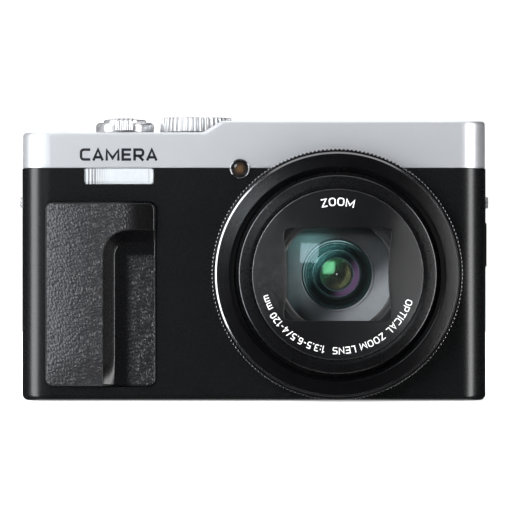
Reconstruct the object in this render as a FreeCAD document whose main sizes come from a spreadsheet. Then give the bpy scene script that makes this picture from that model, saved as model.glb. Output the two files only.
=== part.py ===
"""Compact digital camera with a telescoping zoom lens, a tilting rear monitor and a leather-textured grip.

Frame: +X to the right as seen from the front, +Y to the back, +Z up. The origin is on the base plane, in the
middle of the width and of the overall depth. Lengths are in millimetres.
Every driving dimension is a cell of the sheet "Sizes", and each piece is bound to those cells by expressions.
"""

import FreeCAD, Part
import math
import os
import Sketcher

doc = FreeCAD.newDocument("compact_camera")
sheet = doc.addObject("Spreadsheet::Sheet", "Sizes")
PIECES = []


# ---------------------------------------------------------------------------------------------------------------
# Sizes: a number together with the sheet expression that gives it
# ---------------------------------------------------------------------------------------------------------------


class Size:
    """A length that knows its value and the expression that gives it, so that sums of sizes stay bound to the sheet."""

    def __init__(self, value, text):
        self.value = value
        self.text = text

    def __add__(self, other):
        return Size(self.value + number(other), f"({self.text} + {words(other)})")

    def __radd__(self, other):
        return Size(number(other) + self.value, f"({words(other)} + {self.text})")

    def __sub__(self, other):
        return Size(self.value - number(other), f"({self.text} - {words(other)})")

    def __rsub__(self, other):
        return Size(number(other) - self.value, f"({words(other)} - {self.text})")

    def __mul__(self, other):
        return Size(self.value * number(other), f"({self.text} * {words(other)})")

    __rmul__ = __mul__

    def __truediv__(self, other):
        return Size(self.value / number(other), f"({self.text} / {words(other)})")

    def __neg__(self):
        return Size(-self.value, f"(0 - {self.text})")


def number(length):
    """The value of a size or of a plain number."""
    return length.value if isinstance(length, Size) else float(length)


def words(length):
    """The expression of a size or of a plain number."""
    return length.text if isinstance(length, Size) else f"({float(length)})"


def size(name, value):
    """Adds one driving dimension to the sheet."""
    size.row += 1
    sheet.set(f"A{size.row}", name)
    sheet.set(f"B{size.row}", str(value))
    sheet.setAlias(f"B{size.row}", name)
    return Size(float(value), f"Sizes.{name}")


size.row = 0


def root_of(length):
    """Square root of a size."""
    return Size(math.sqrt(length.value), f"sqrt({length.text})")


def bind(item, name, length):
    """Sets a property of an object and binds it to the sheet."""
    item.setExpression(name, words(length))


# ---------------------------------------------------------------------------------------------------------------
# Sketches
# ---------------------------------------------------------------------------------------------------------------

NORMAL_SIGN = {"XY": 1, "XZ": -1, "YZ": 1}
VERTICAL_AXIS = -2
HORIZONTAL_AXIS = -1


def new_sketch(body, plane, level=0):
    """A sketch on one of the body's own origin planes, moved along the plane's normal axis to a level."""
    sketch = body.newObject("Sketcher::SketchObject", f"{body.Name}_sketch")
    role = f"{plane}_Plane"
    face = [f for f in body.Origin.OriginFeatures if f.Role == role][0]
    sketch.AttachmentSupport = [(face, "")]
    sketch.MapMode = "FlatFace"
    bind(sketch, "AttachmentOffset.Base.z", level * NORMAL_SIGN[plane])
    return sketch


def constrain_point(sketch, geometry, position, x, y):
    """Holds one point of a sketch at x and y from the sketch's origin."""
    for kind, length, axis in (("DistanceX", x, VERTICAL_AXIS), ("DistanceY", y, HORIZONTAL_AXIS)):
        if abs(number(length)) < 1e-9:
            sketch.addConstraint(Sketcher.Constraint("PointOnObject", geometry, position, axis))
        else:
            at = sketch.addConstraint(Sketcher.Constraint(kind, geometry, position, number(length)))
            bind(sketch, f"Constraints[{at}]", length)


def circle(sketch, x, y, radius):
    """A full circle, held by its centre and radius."""
    centre = FreeCAD.Vector(number(x), number(y), 0)
    drawn = sketch.addGeometry(Part.Circle(centre, FreeCAD.Vector(0, 0, 1), number(radius)))
    at = sketch.addConstraint(Sketcher.Constraint("Radius", drawn, number(radius)))
    bind(sketch, f"Constraints[{at}]", radius)
    constrain_point(sketch, drawn, 3, x, y)


def corner_arc(before, corner, after, radius):
    """The two ends and the middle of the arc that rounds a corner."""
    towards_before = (before - corner).normalize()
    towards_after = (after - corner).normalize()
    half = towards_before.getAngle(towards_after) / 2
    reach = radius / math.tan(half)
    centre = corner + (towards_before + towards_after).normalize() * (radius / math.sin(half))
    middle = centre + (corner - centre).normalize() * radius
    return corner + towards_before * reach, middle, corner + towards_after * reach


def outline(sketch, points):
    """A closed outline of straight lines. A point is (x, y), or (x, y, radius) where its corner is rounded."""
    count = len(points)
    corners = [FreeCAD.Vector(number(p[0]), number(p[1]), 0) for p in points]
    ends = []
    for i, point in enumerate(points):
        if len(point) == 3:
            ends.append(corner_arc(corners[i - 1], corners[i], corners[(i + 1) % count], number(point[2])))
        else:
            ends.append((corners[i], None, corners[i]))
    lines = []
    for i in range(count):
        lines.append(sketch.addGeometry(Part.LineSegment(ends[i][2], ends[(i + 1) % count][0])))
    for i, point in enumerate(points):
        came, goes = lines[i - 1], lines[i]
        if len(point) == 2:
            sketch.addConstraint(Sketcher.Constraint("Coincident", came, 2, goes, 1))
            constrain_point(sketch, goes, 1, point[0], point[1])
            continue
        arc = sketch.addGeometry(Part.Arc(*ends[i]))
        starts_here = sketch.getPoint(arc, 1).distanceToPoint(ends[i][0]) < 1e-6
        first, last = (1, 2) if starts_here else (2, 1)
        sketch.addConstraint(Sketcher.Constraint("Tangent", came, 2, arc, first))
        sketch.addConstraint(Sketcher.Constraint("Tangent", arc, last, goes, 1))
        at = sketch.addConstraint(Sketcher.Constraint("Radius", arc, number(point[2])))
        bind(sketch, f"Constraints[{at}]", point[2])
        tip = sketch.addGeometry(Part.Point(corners[i]), True)
        sketch.addConstraint(Sketcher.Constraint("PointOnObject", tip, 1, came))
        sketch.addConstraint(Sketcher.Constraint("PointOnObject", tip, 1, goes))
        constrain_point(sketch, tip, 1, point[0], point[1])


def box_points(x0, x1, y0, y1, radius=None):
    """The corners of a rectangle, rounded where a radius is given."""
    corners = [(x0, y0), (x1, y0), (x1, y1), (x0, y1)]
    return corners if radius is None else [(x, y, radius) for x, y in corners]


# ---------------------------------------------------------------------------------------------------------------
# Bodies and features
# ---------------------------------------------------------------------------------------------------------------


def place(item, x=0, y=0, z=0):
    """Binds an object's position."""
    for axis, length in (("x", x), ("y", y), ("z", z)):
        bind(item, f"Placement.Base.{axis}", length)


def piece(name, x=0, y=0, z=0):
    """A new body for one sub-part, with its own placement."""
    body = doc.addObject("PartDesign::Body", name)
    body.Label = name
    place(body, x, y, z)
    PIECES.append(body)
    return body


def keep(item, name):
    """Names a finished object that isn't a body as one sub-part."""
    item.Label = name
    PIECES.append(item)
    return item


def draw(sketch, shapes):
    """Draws outlines, given as lists of points, and circles, given as (x, y, radius) triples."""
    for shape in shapes:
        if isinstance(shape, tuple):
            circle(sketch, *shape)
        else:
            outline(sketch, shape)


def prism(body, plane, low, high, *shapes):
    """Adds material between two levels along the plane's normal axis."""
    sketch = new_sketch(body, plane, high if plane == "XZ" else low)
    draw(sketch, shapes)
    pad = body.newObject("PartDesign::Pad", f"{body.Name}_pad")
    pad.Profile = (sketch, [""])
    bind(pad, "Length", high - low)
    return pad


def cut(body, plane, low, high, *shapes):
    """Removes material between two levels along the plane's normal axis."""
    sketch = new_sketch(body, plane, low if plane == "XZ" else high)
    draw(sketch, shapes)
    pocket = body.newObject("PartDesign::Pocket", f"{body.Name}_pocket")
    pocket.Profile = (sketch, [""])
    bind(pocket, "Length", high - low)
    return pocket


def turned(body, points, plane="XY", kind="PartDesign::Revolution"):
    """A turned shape: the profile's first number is the radius, its second runs along the body's own Y (plane XY) or
    Z (plane XZ) axis."""
    sketch = new_sketch(body, plane)
    outline(sketch, points)
    revolve(body, sketch, kind)


def revolve(body, sketch, kind="PartDesign::Revolution"):
    """Turns a sketch all the way round its vertical axis."""
    feature = body.newObject(kind, f"{body.Name}_turned")
    feature.Profile = (sketch, [""])
    feature.ReferenceAxis = (sketch, ["V_Axis"])
    feature.Angle = 360
    return feature


def lens_element(body, radius, apex, curvature, rear):
    """A plano-convex glass: its front is a sphere whose apex faces -Y, its back is flat."""
    sketch = new_sketch(body, "XY")
    edge = apex + curvature - root_of(curvature * curvature - radius * radius)
    tip = FreeCAD.Vector(0, number(apex), 0)
    rim = FreeCAD.Vector(number(radius), number(edge), 0)
    centre = FreeCAD.Vector(0, number(apex) + number(curvature), 0)
    halfway = (tip + rim) / 2
    middle = centre + (halfway - centre).normalize() * number(curvature)
    back_rim = FreeCAD.Vector(number(radius), number(rear), 0)
    back_middle = FreeCAD.Vector(0, number(rear), 0)
    arc = sketch.addGeometry(Part.Arc(tip, middle, rim))
    side = sketch.addGeometry(Part.LineSegment(rim, back_rim))
    back = sketch.addGeometry(Part.LineSegment(back_rim, back_middle))
    axis = sketch.addGeometry(Part.LineSegment(back_middle, tip))
    starts_at_tip = sketch.getPoint(arc, 1).distanceToPoint(tip) < 1e-6
    tip_end, rim_end = (1, 2) if starts_at_tip else (2, 1)
    for a, a_end, b, b_end in ((arc, rim_end, side, 1), (side, 2, back, 1), (back, 2, axis, 1), (axis, 2, arc, tip_end)):
        sketch.addConstraint(Sketcher.Constraint("Coincident", a, a_end, b, b_end))
    sketch.addConstraint(Sketcher.Constraint("PointOnObject", arc, 3, VERTICAL_AXIS))
    constrain_point(sketch, axis, 2, 0, apex)
    constrain_point(sketch, side, 2, radius, rear)
    constrain_point(sketch, axis, 1, 0, rear)
    at = sketch.addConstraint(Sketcher.Constraint("DistanceX", side, 1, number(radius)))
    bind(sketch, f"Constraints[{at}]", radius)
    at = sketch.addConstraint(Sketcher.Constraint("Radius", arc, number(curvature)))
    bind(sketch, f"Constraints[{at}]", curvature)
    revolve(body, sketch)


def edges_where(feature, test):
    """The names of a feature's edges whose bounding box passes a test."""
    doc.recompute()
    return [f"Edge{i + 1}" for i, edge in enumerate(feature.Shape.Edges) if test(edge.BoundBox)]


def round_edges(body, test, radius):
    """Rounds the edges of the body's last feature that pass a test."""
    last = body.Tip
    names = edges_where(last, test)
    fillet = body.newObject("PartDesign::Fillet", f"{body.Name}_fillet")
    fillet.Base = (last, names)
    bind(fillet, "Radius", radius)
    return fillet


def close(a, b):
    """Whether two lengths are the same place."""
    return abs(number(a) - number(b)) < 1e-3


def cylinder(name, radius, length, x, y, z, along):
    """A plain cylinder that starts at a point and runs along X, Y or Z."""
    rod = doc.addObject("Part::Cylinder", name)
    bind(rod, "Radius", radius)
    bind(rod, "Height", length)
    turns = {"X": ((0, 1, 0), 90), "Y": ((1, 0, 0), -90), "Z": ((0, 0, 1), 0)}
    axis, angle = turns[along]
    rod.Placement.Rotation = FreeCAD.Rotation(FreeCAD.Vector(*axis), angle)
    place(rod, x, y, z)
    return rod


# ---------------------------------------------------------------------------------------------------------------
# Overall dimensions of the casing
# ---------------------------------------------------------------------------------------------------------------

body_width = size("body_width", 112.0)
body_height = size("body_height", 67.3)  # to the high part of the top plate
overall_depth = size("overall_depth", 41.2)  # name ring to monitor hinge
lens_standout = size("lens_standout", 13.4)  # name ring ahead of the front cover
hinge_standout = size("hinge_standout", 1.6)  # monitor hinge behind the rear cover
cover_wall = size("cover_wall", 1.6)
rear_cover_depth = size("rear_cover_depth", 8.0)
front_corner = size("front_corner", 7.0)
rear_corner = size("rear_corner", 5.0)
bottom_round = size("bottom_round", 1.4)
shelf_drop = size("shelf_drop", 2.8)  # from the high part of the top plate to its low part
plate_skirt = size("plate_skirt", 8.65)  # height of the top plate's sides
seam = size("seam", 0.15)
fit_gap = size("fit_gap", 0.15)  # around inserted trim and buttons
running_gap = size("running_gap", 0.06)  # around shafts and sliding tubes
plate_wall = size("plate_wall", 1.2)
beyond = cover_wall  # how far a cut runs past the wall that it opens

half_width = body_width / 2
foremost = -overall_depth / 2
rearmost = overall_depth / 2
front = foremost + lens_standout
back = rearmost - hinge_standout
parting = back - rear_cover_depth
inner_front = front + cover_wall
inner_back = back - cover_wall
inner_side = half_width - cover_wall
shelf_top = body_height - shelf_drop
split_height = shelf_top - plate_skirt
plate_bottom = split_height + seam
shelf_floor = shelf_top - plate_wall

# Trim in the front cover.
grip_margin = size("grip_margin", 5.7)  # from the left side
grip_width = size("grip_width", 26.9)
grip_bottom = size("grip_bottom", 3.3)
grip_height = size("grip_height", 44.6)
grip_corner = size("grip_corner", 1.8)
grip_recess = size("grip_recess", 0.8)
grip_skin = size("grip_skin", 0.6)  # how far the flat of the grip stands out
grip_swell = size("grip_swell", 4.2)  # how far the finger ridge stands out
flash_margin = size("flash_margin", 15.1)  # from the left side
flash_width = size("flash_width", 16.9)
flash_height = size("flash_height", 3.95)
flash_corner = size("flash_corner", 0.7)
lamp_offset = size("lamp_offset", 52.6)  # from the left side
lamp_drop = size("lamp_drop", 0.15)  # below the seam
lamp_radius = size("lamp_radius", 2.4)
lamp_lens_radius = size("lamp_lens_radius", 1.85)
lamp_proud = size("lamp_proud", 0.3)

grip_left = grip_margin - half_width
grip_right = grip_left + grip_width
grip_top = grip_bottom + grip_height
flash_left = flash_margin - half_width
flash_right = flash_left + flash_width
flash_bottom = split_height - flash_height
lamp_x = lamp_offset - half_width
lamp_z = split_height - lamp_drop

# Strap lugs and the port door on the sides.
lug_y = size("lug_y", 10.6)  # behind the front face
lug_length = size("lug_length", 5.8)
lug_drop = size("lug_drop", 9.55)  # lug bottom below the seam
lug_height = size("lug_height", 2.7)
lug_standout = size("lug_standout", 0.7)
lug_bar = size("lug_bar", 0.9)
lug_leg = size("lug_leg", 0.8)
lug_recess_depth = size("lug_recess_depth", 1.0)
lug_recess_length = size("lug_recess_length", 7.0)
lug_recess_height = size("lug_recess_height", 8.5)
lug_recess_drop = size("lug_recess_drop", 3.95)  # recess top below the seam
port_front_y = size("port_front_y", 6.8)  # behind the front face
port_length = size("port_length", 7.3)  # from the door's front edge to its hinge axis
port_bottom = size("port_bottom", 32.2)
port_height = size("port_height", 10.5)
port_thickness = size("port_thickness", 1.3)
port_proud = size("port_proud", 0.25)
port_pin = size("port_pin", 0.35)
port_pin_length = size("port_pin_length", 0.5)

lug_middle = front + lug_y
lug_bottom = split_height - lug_drop
lug_recess_top = split_height - lug_recess_drop
lug_recess_bottom = lug_recess_top - lug_recess_height
port_knuckle = port_thickness / 2
port_outer = half_width + port_proud
port_axis_x = port_outer - port_knuckle
port_front = front + port_front_y
port_axis_y = port_front + port_length
port_top = port_bottom + port_height

# Battery, memory card and the door under them.
battery_width = size("battery_width", 29.8)
battery_depth = size("battery_depth", 9.2)
battery_length = size("battery_length", 42.8)
battery_margin = size("battery_margin", 4.8)  # from the left side
battery_inset = size("battery_inset", 2.0)  # from the front cover's inner face
card_width = size("card_width", 24.0)
card_depth = size("card_depth", 2.1)
card_length = size("card_length", 32.0)
card_step = size("card_step", 1.0)  # between the battery and the card
bay_gap = size("bay_gap", 0.15)
bay_wall = size("bay_wall", 0.4)
bay_lift = size("bay_lift", 0.5)  # above the front cover's floor
bay_roof = size("bay_roof", 0.8)
door_pin = size("door_pin", 0.35)
door_pin_length = size("door_pin_length", 1.2)
lock_width = size("lock_width", 6.0)
lock_length = size("lock_length", 4.0)
lock_height = size("lock_height", 0.6)
lock_travel = size("lock_travel", 2.5)
lock_inset = size("lock_inset", 1.2)  # from the door's front edge
latch_width = size("latch_width", 4.0)
latch_depth = size("latch_depth", 1.5)
latch_height = size("latch_height", 3.6)
latch_travel = size("latch_travel", 2.0)

battery_left = battery_margin - half_width
battery_right = battery_left + battery_width
battery_front = inner_front + battery_inset
battery_back = battery_front + battery_depth
battery_bottom = cover_wall + bay_lift
card_left = battery_left + (battery_width - card_width) / 2
card_right = card_left + card_width
card_front = battery_back + card_step
card_back = card_front + card_depth
bay_left = battery_left - bay_gap - bay_wall
bay_right = battery_right + bay_gap + bay_wall
bay_front = battery_front - bay_gap - bay_wall
bay_back = card_back + bay_gap + bay_wall
door_knuckle = cover_wall / 2
door_axis_z = cover_wall / 2
door_axis_y = bay_back
door_left = bay_left
door_right = bay_right
door_front = bay_front

# The tripod socket and the screws.
socket_step = size("socket_step", 8.0)  # from the battery door
socket_y = size("socket_y", 11.6)  # behind the front face
socket_outer = size("socket_outer", 4.4)
socket_flange = size("socket_flange", 5.4)
socket_flange_height = size("socket_flange_height", 1.0)
socket_bore = size("socket_bore", 2.65)
socket_depth = size("socket_depth", 5.5)
socket_cap = size("socket_cap", 0.9)
screw_head = size("screw_head", 1.45)
screw_head_height = size("screw_head_height", 0.75)
screw_shank = size("screw_shank", 0.75)
screw_length = size("screw_length", 2.5)
screw_sink = size("screw_sink", 0.1)
screw_y = size("screw_y", 12.2)  # behind the front face
screw_side_z = size("screw_side_z", 9.0)
screw_margin = size("screw_margin", 12.0)  # from the right side
screw_spacing = size("screw_spacing", 40.0)

socket_x = door_right + socket_step
socket_middle = front + socket_y
screw_middle = front + screw_y
screw_seat = screw_sink + screw_head_height
base_screws = [half_width - screw_margin, half_width - screw_margin - screw_spacing]

# Lens: radii are about the lens axis.
lens_offset = size("lens_offset", 36.1)  # from the right side
ring_radius = size("ring_radius", 30.1)
ring_lift = size("ring_lift", 0.3)  # above the base plane
ring_band = size("ring_band", 4.8)
ring_groove_depth = size("ring_groove_depth", 0.8)
ring_groove_width = size("ring_groove_width", 0.5)
ring_chamfer = size("ring_chamfer", 0.65)
ring_shoulder = size("ring_shoulder", 0.65)
ring_face_width = size("ring_face_width", 3.0)
ring_face_depth = size("ring_face_depth", 0.95)
ring_lip_width = size("ring_lip_width", 1.2)
ring_valley_depth = size("ring_valley_depth", 1.4)
ring_gap = size("ring_gap", 0.2)
collar_sleeve = size("collar_sleeve", 25.2)
collar_wall = size("collar_wall", 1.55)
collar_flange = size("collar_flange", 28.4)
collar_flange_thickness = size("collar_flange_thickness", 1.5)
tube_wall = size("tube_wall", 1.6)
tube_lip = size("tube_lip", 1.2)
tube_step = size("tube_step", 0.8)  # name ring ahead of the outer barrel
inner_tube_radius = size("inner_tube_radius", 20.4)
name_ring_thickness = size("name_ring_thickness", 0.8)
guide_flange = size("guide_flange", 1.5)
tube_rest_gap = size("tube_rest_gap", 0.8)
inner_tube_rest_gap = size("inner_tube_rest_gap", 1.2)

lens_x = half_width - lens_offset
lens_z = ring_radius + ring_lift
collar_bore = collar_sleeve - collar_wall
outer_tube_radius = collar_bore - running_gap
outer_tube_bore = outer_tube_radius - tube_wall
inner_tube_bore = inner_tube_radius - tube_wall
name_ring_back = foremost + name_ring_thickness
outer_tube_front = foremost + tube_step

# Monitor and its hinge.
monitor_margin_left = size("monitor_margin_left", 39.0)
monitor_margin_right = size("monitor_margin_right", 5.4)
monitor_bottom = size("monitor_bottom", 5.0)
monitor_thickness = size("monitor_thickness", 5.1)
monitor_gap = size("monitor_gap", 0.4)
monitor_proud = size("monitor_proud", 0.2)
monitor_corner = size("monitor_corner", 1.5)
glass_thickness = size("glass_thickness", 0.9)
glass_border = size("glass_border", 0.8)
knuckle_radius = size("knuckle_radius", 1.1)
knuckle_length = size("knuckle_length", 8.0)
knuckle_inset = size("knuckle_inset", 4.0)
hinge_drop = size("hinge_drop", 1.25)  # hinge axis below the seam
hinge_rise = size("hinge_rise", 1.2)  # hinge axis above the monitor's top edge
hinge_web = size("hinge_web", 1.3)
hinge_pin = size("hinge_pin", 0.5)
bracket_gap = size("bracket_gap", 0.4)
recess_wall = size("recess_wall", 1.2)

monitor_left = monitor_margin_left - half_width
monitor_right = half_width - monitor_margin_right
hinge_y = rearmost - knuckle_radius
hinge_z = split_height - hinge_drop
monitor_top = hinge_z - hinge_rise
monitor_back = back + monitor_proud
monitor_front = monitor_back - monitor_thickness
recess_floor = monitor_front - monitor_gap
recess_left = monitor_left - monitor_gap
recess_right = monitor_right + monitor_gap
recess_bottom = monitor_bottom - monitor_gap
cavity_back = recess_floor - recess_wall

# Thumb rest, rear dial and rear buttons.
pad_margin = size("pad_margin", 3.0)
pad_width = size("pad_width", 20.5)
pad_bottom = size("pad_bottom", 37.6)
pad_height = size("pad_height", 15.5)
pad_recess = size("pad_recess", 0.6)
pad_skin = size("pad_skin", 0.5)
pad_ridge = size("pad_ridge", 1.5)
pad_ridge_width = size("pad_ridge_width", 7.0)
pad_corner = size("pad_corner", 2.2)
dial_margin = size("dial_margin", 19.5)  # from the left side
dial_z = size("dial_z", 20.5)
dial_outer = size("dial_outer", 9.6)
dial_inner = size("dial_inner", 4.9)
dial_height = size("dial_height", 1.5)
dial_backing = size("dial_backing", 0.8)  # cover left behind the dial
dial_bevel = size("dial_bevel", 0.4)
set_radius = size("set_radius", 3.75)
key_radius = size("key_radius", 2.7)
key_proud = size("key_proud", 0.5)
key_flange = size("key_flange", 0.6)
key_flange_height = size("key_flange_height", 0.6)
key_play = size("key_play", 0.1)
key_bevel = size("key_bevel", 0.3)
key_spread = size("key_spread", 11.6)  # from the dial's axis, across and up

pad_left = pad_margin - half_width
pad_right = pad_left + pad_width
pad_top = pad_bottom + pad_height
dial_x = dial_margin - half_width
dial_floor = inner_back + dial_backing
dial_back = dial_floor + running_gap
REAR_KEYS = {
    "menu_button": (dial_x - key_spread, dial_z + key_spread),
    "play_button": (dial_x + key_spread, dial_z + key_spread),
    "display_button": (dial_x - key_spread, dial_z - key_spread),
    "delete_button": (dial_x + key_spread, dial_z - key_spread),
}

# Top plate and the controls on it.
plate_inset = size("plate_inset", 0.15)
plate_round = size("plate_round", 0.9)
step_width = size("step_width", 4.5)
step_round = size("step_round", 2.0)
step_shift = size("step_shift", 1.7)  # foot of the step right of the mode dial's axis
hump_inset = size("hump_inset", 10.6)  # hollow of the hump right of the mode dial's axis
mode_offset = size("mode_offset", 42.0)  # from the left side
mode_y = size("mode_y", 13.2)  # behind the front face
mode_radius = size("mode_radius", 8.85)
mode_height = size("mode_height", 3.5)
mode_bevel = size("mode_bevel", 0.5)
mode_lift = size("mode_lift", 0.3)
mode_gap = size("mode_gap", 0.35)
mode_stem = size("mode_stem", 2.5)
mode_stem_length = size("mode_stem_length", 4.2)
release_offset = size("release_offset", 24.7)  # from the left side
release_y = size("release_y", 10.6)  # behind the front face
release_radius = size("release_radius", 5.1)
release_cap = size("release_cap", 1.4)
release_rise = size("release_rise", 3.3)  # above the low part of the plate
release_bevel = size("release_bevel", 0.4)
release_stem = size("release_stem", 1.7)
release_clip = size("release_clip", 2.4)
release_clip_height = size("release_clip_height", 0.6)
lever_radius = size("lever_radius", 7.0)
lever_rise = size("lever_rise", 2.5)  # above the low part of the plate
lever_lift = size("lever_lift", 0.2)
lever_floor = size("lever_floor", 0.8)
lever_bevel = size("lever_bevel", 0.6)
lever_hub = size("lever_hub", 3.0)
lever_hub_length = size("lever_hub_length", 3.6)
lever_tab_width = size("lever_tab_width", 4.4)
lever_tab_reach = size("lever_tab_reach", 8.9)
lever_tab_rise = size("lever_tab_rise", 3.5)
lever_tab_lift = size("lever_tab_lift", 0.5)
lever_tab_corner = size("lever_tab_corner", 0.6)
power_offset = size("power_offset", 9.5)  # from the left side
power_y = size("power_y", 11.6)  # behind the front face
power_radius = size("power_radius", 3.1)
record_offset = size("record_offset", 14.2)  # from the left side
record_y = size("record_y", 20.4)  # behind the front face
record_radius = size("record_radius", 2.4)

plate_half = half_width - plate_inset
plate_front = front + plate_inset
plate_back = back - plate_inset
mode_x = mode_offset - half_width
mode_middle = front + mode_y
mode_bottom = shelf_top + mode_lift
release_x = release_offset - half_width
release_middle = front + release_y
step_foot = mode_x + step_shift
step_head = step_foot + step_width
TOP_KEYS = {
    "power_button": (power_offset - half_width, front + power_y, power_radius),
    "record_button": (record_offset - half_width, front + record_y, record_radius),
}

# ---------------------------------------------------------------------------------------------------------------
# Front cover: moulded black shell with the front, the base and most of the sides
# ---------------------------------------------------------------------------------------------------------------


def on_base_not_on_parting(box):
    """Picks the edges round the base, except the one where the two covers meet."""
    return close(box.ZMax, 0) and not (close(box.YMin, parting) and close(box.YMax, parting))


front_cover = piece("front_cover")
prism(
    front_cover, "XY", 0, split_height,
    [
        (-half_width, parting),
        (-half_width, front, front_corner),
        (half_width, front, front_corner),
        (half_width, parting),
    ],
)
round_edges(front_cover, on_base_not_on_parting, bottom_round)
cut(
    front_cover, "XY", cover_wall, split_height + beyond,
    [
        (-inner_side, parting + beyond),
        (-inner_side, inner_front, front_corner - cover_wall),
        (inner_side, inner_front, front_corner - cover_wall),
        (inner_side, parting + beyond),
    ],
)
cut(
    front_cover, "XZ", front - beyond, inner_front + beyond,
    (lens_x, lens_z, collar_sleeve + running_gap),
    (lamp_x, lamp_z, lamp_radius + running_gap),
    [
        (flash_left, flash_bottom, flash_corner),
        (flash_right, flash_bottom, flash_corner),
        (flash_right, split_height + beyond),
        (flash_left, split_height + beyond),
    ],
)
cut(
    front_cover, "XZ", front - beyond, front + grip_recess,
    box_points(grip_left, grip_right, grip_bottom, grip_top, grip_corner),
)
lug_recess = box_points(
    lug_middle - lug_recess_length / 2, lug_middle + lug_recess_length / 2, lug_recess_bottom, lug_recess_top
)
cut(front_cover, "YZ", half_width - lug_recess_depth, half_width + beyond, lug_recess)
cut(front_cover, "YZ", -half_width - beyond, -half_width + lug_recess_depth, lug_recess)
cut(
    front_cover, "YZ", inner_side - beyond, half_width + beyond,
    box_points(port_front - fit_gap, port_axis_y + port_knuckle + fit_gap, port_bottom - fit_gap, port_top + fit_gap),
)
cut(
    front_cover, "XY", port_bottom - port_pin_length - fit_gap, port_top + port_pin_length + fit_gap,
    (port_axis_x, port_axis_y, port_pin + running_gap),
)
cut(
    front_cover, "XY", -beyond, cover_wall + beyond,
    box_points(door_left - fit_gap, door_right + fit_gap, door_front - fit_gap, door_axis_y + door_knuckle + fit_gap),
)
cut(
    front_cover, "YZ", door_left - door_pin_length - fit_gap, door_right + door_pin_length + fit_gap,
    (door_axis_y, door_axis_z, door_pin + running_gap),
)
cut(
    front_cover, "XY", -beyond, cover_wall + beyond,
    (socket_x, socket_middle, socket_outer),
    *[(x, screw_middle, screw_shank) for x in base_screws],
)
cut(front_cover, "XY", -beyond, screw_seat, *[(x, screw_middle, screw_head + running_gap) for x in base_screws])
for low, high in ((inner_side - beyond, half_width + beyond), (-half_width - beyond, -inner_side + beyond)):
    cut(front_cover, "YZ", low, high, (screw_middle, screw_side_z, screw_shank))
for low, high in ((half_width - screw_seat, half_width + beyond), (-half_width - beyond, -half_width + screw_seat)):
    cut(front_cover, "YZ", low, high, (screw_middle, screw_side_z, screw_head + running_gap))

# ---------------------------------------------------------------------------------------------------------------
# Rear cover: moulded black shell with the back, the recess for the monitor and the rest of the sides
# ---------------------------------------------------------------------------------------------------------------

rear_cover = piece("rear_cover")
prism(
    rear_cover, "XY", 0, split_height,
    [
        (-half_width, parting),
        (half_width, parting),
        (half_width, back, rear_corner),
        (-half_width, back, rear_corner),
    ],
)
round_edges(rear_cover, on_base_not_on_parting, bottom_round)
cut(
    rear_cover, "XY", cover_wall, split_height + beyond,
    [
        (-inner_side, parting - beyond),
        (inner_side, parting - beyond),
        (inner_side, cavity_back),
        (recess_left - recess_wall, cavity_back),
        (recess_left - recess_wall, inner_back),
        (-inner_side, inner_back, rear_corner - cover_wall),
    ],
)
cut(
    rear_cover, "XZ", recess_floor, back + beyond,
    [
        (recess_left, recess_bottom, monitor_corner),
        (recess_right, recess_bottom, monitor_corner),
        (recess_right, split_height + beyond),
        (recess_left, split_height + beyond),
    ],
)
cut(
    rear_cover, "XZ", back - pad_recess, back + beyond,
    box_points(pad_left, pad_right, pad_bottom, pad_top, pad_corner),
)
cut(
    rear_cover, "XZ", dial_floor, back + beyond,
    (dial_x, dial_z, dial_outer + fit_gap),
    (dial_x, dial_z, dial_inner - running_gap),
)
cut(
    rear_cover, "XZ", inner_back - beyond, back + beyond,
    (dial_x, dial_z, set_radius + fit_gap),
    *[(x, z, key_radius + fit_gap) for x, z in REAR_KEYS.values()],
)

# ---------------------------------------------------------------------------------------------------------------
# Top plate: pressed silver metal shell, low over the grip and higher over the lens
# ---------------------------------------------------------------------------------------------------------------

top_plate = piece("top_plate")
prism(
    top_plate, "XY", plate_bottom, body_height,
    [
        (-plate_half, plate_front, front_corner - plate_inset),
        (plate_half, plate_front, front_corner - plate_inset),
        (plate_half, plate_back, rear_corner - plate_inset),
        (-plate_half, plate_back, rear_corner - plate_inset),
    ],
)
cut(
    top_plate, "XZ", plate_front - beyond, plate_back + beyond,
    [
        (-plate_half - beyond, shelf_top),
        (step_foot, shelf_top, step_round),
        (step_head, body_height, step_round),
        (step_head + step_width, body_height),
        (step_head + step_width, body_height + beyond),
        (-plate_half - beyond, body_height + beyond),
    ],
)


def on_plate_rim(box):
    """Picks the plate's outer top edges: those along the front, the back and the two ends."""
    high = box.ZMin > number(shelf_top) - 1e-3
    along_front = close(box.YMax, plate_front) or close(box.YMin, plate_back)
    at_end = box.XMax < -number(plate_half) + number(front_corner) or box.XMin > number(plate_half) - number(front_corner)
    return high and (along_front or at_end)


round_edges(top_plate, on_plate_rim, plate_round)
cut(top_plate, "XY", shelf_top, body_height + beyond, (mode_x, mode_middle, mode_radius + mode_gap))
plate_inner_half = plate_half - plate_wall
plate_inner_corner = front_corner - plate_inset - plate_wall
plate_inner_rear_corner = rear_corner - plate_inset - plate_wall
cut(
    top_plate, "XY", plate_bottom - beyond, shelf_floor,
    [
        (-plate_inner_half, plate_front + plate_wall, plate_inner_corner),
        (plate_inner_half, plate_front + plate_wall, plate_inner_corner),
        (plate_inner_half, plate_back - plate_wall, plate_inner_rear_corner),
        (-plate_inner_half, plate_back - plate_wall, plate_inner_rear_corner),
    ],
)
cut(
    top_plate, "XY", plate_bottom - beyond, body_height - plate_wall,
    [
        (mode_x + hump_inset, plate_front + plate_wall),
        (plate_inner_half, plate_front + plate_wall, plate_inner_corner),
        (plate_inner_half, plate_back - plate_wall, plate_inner_rear_corner),
        (mode_x + hump_inset, plate_back - plate_wall),
    ],
)
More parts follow.
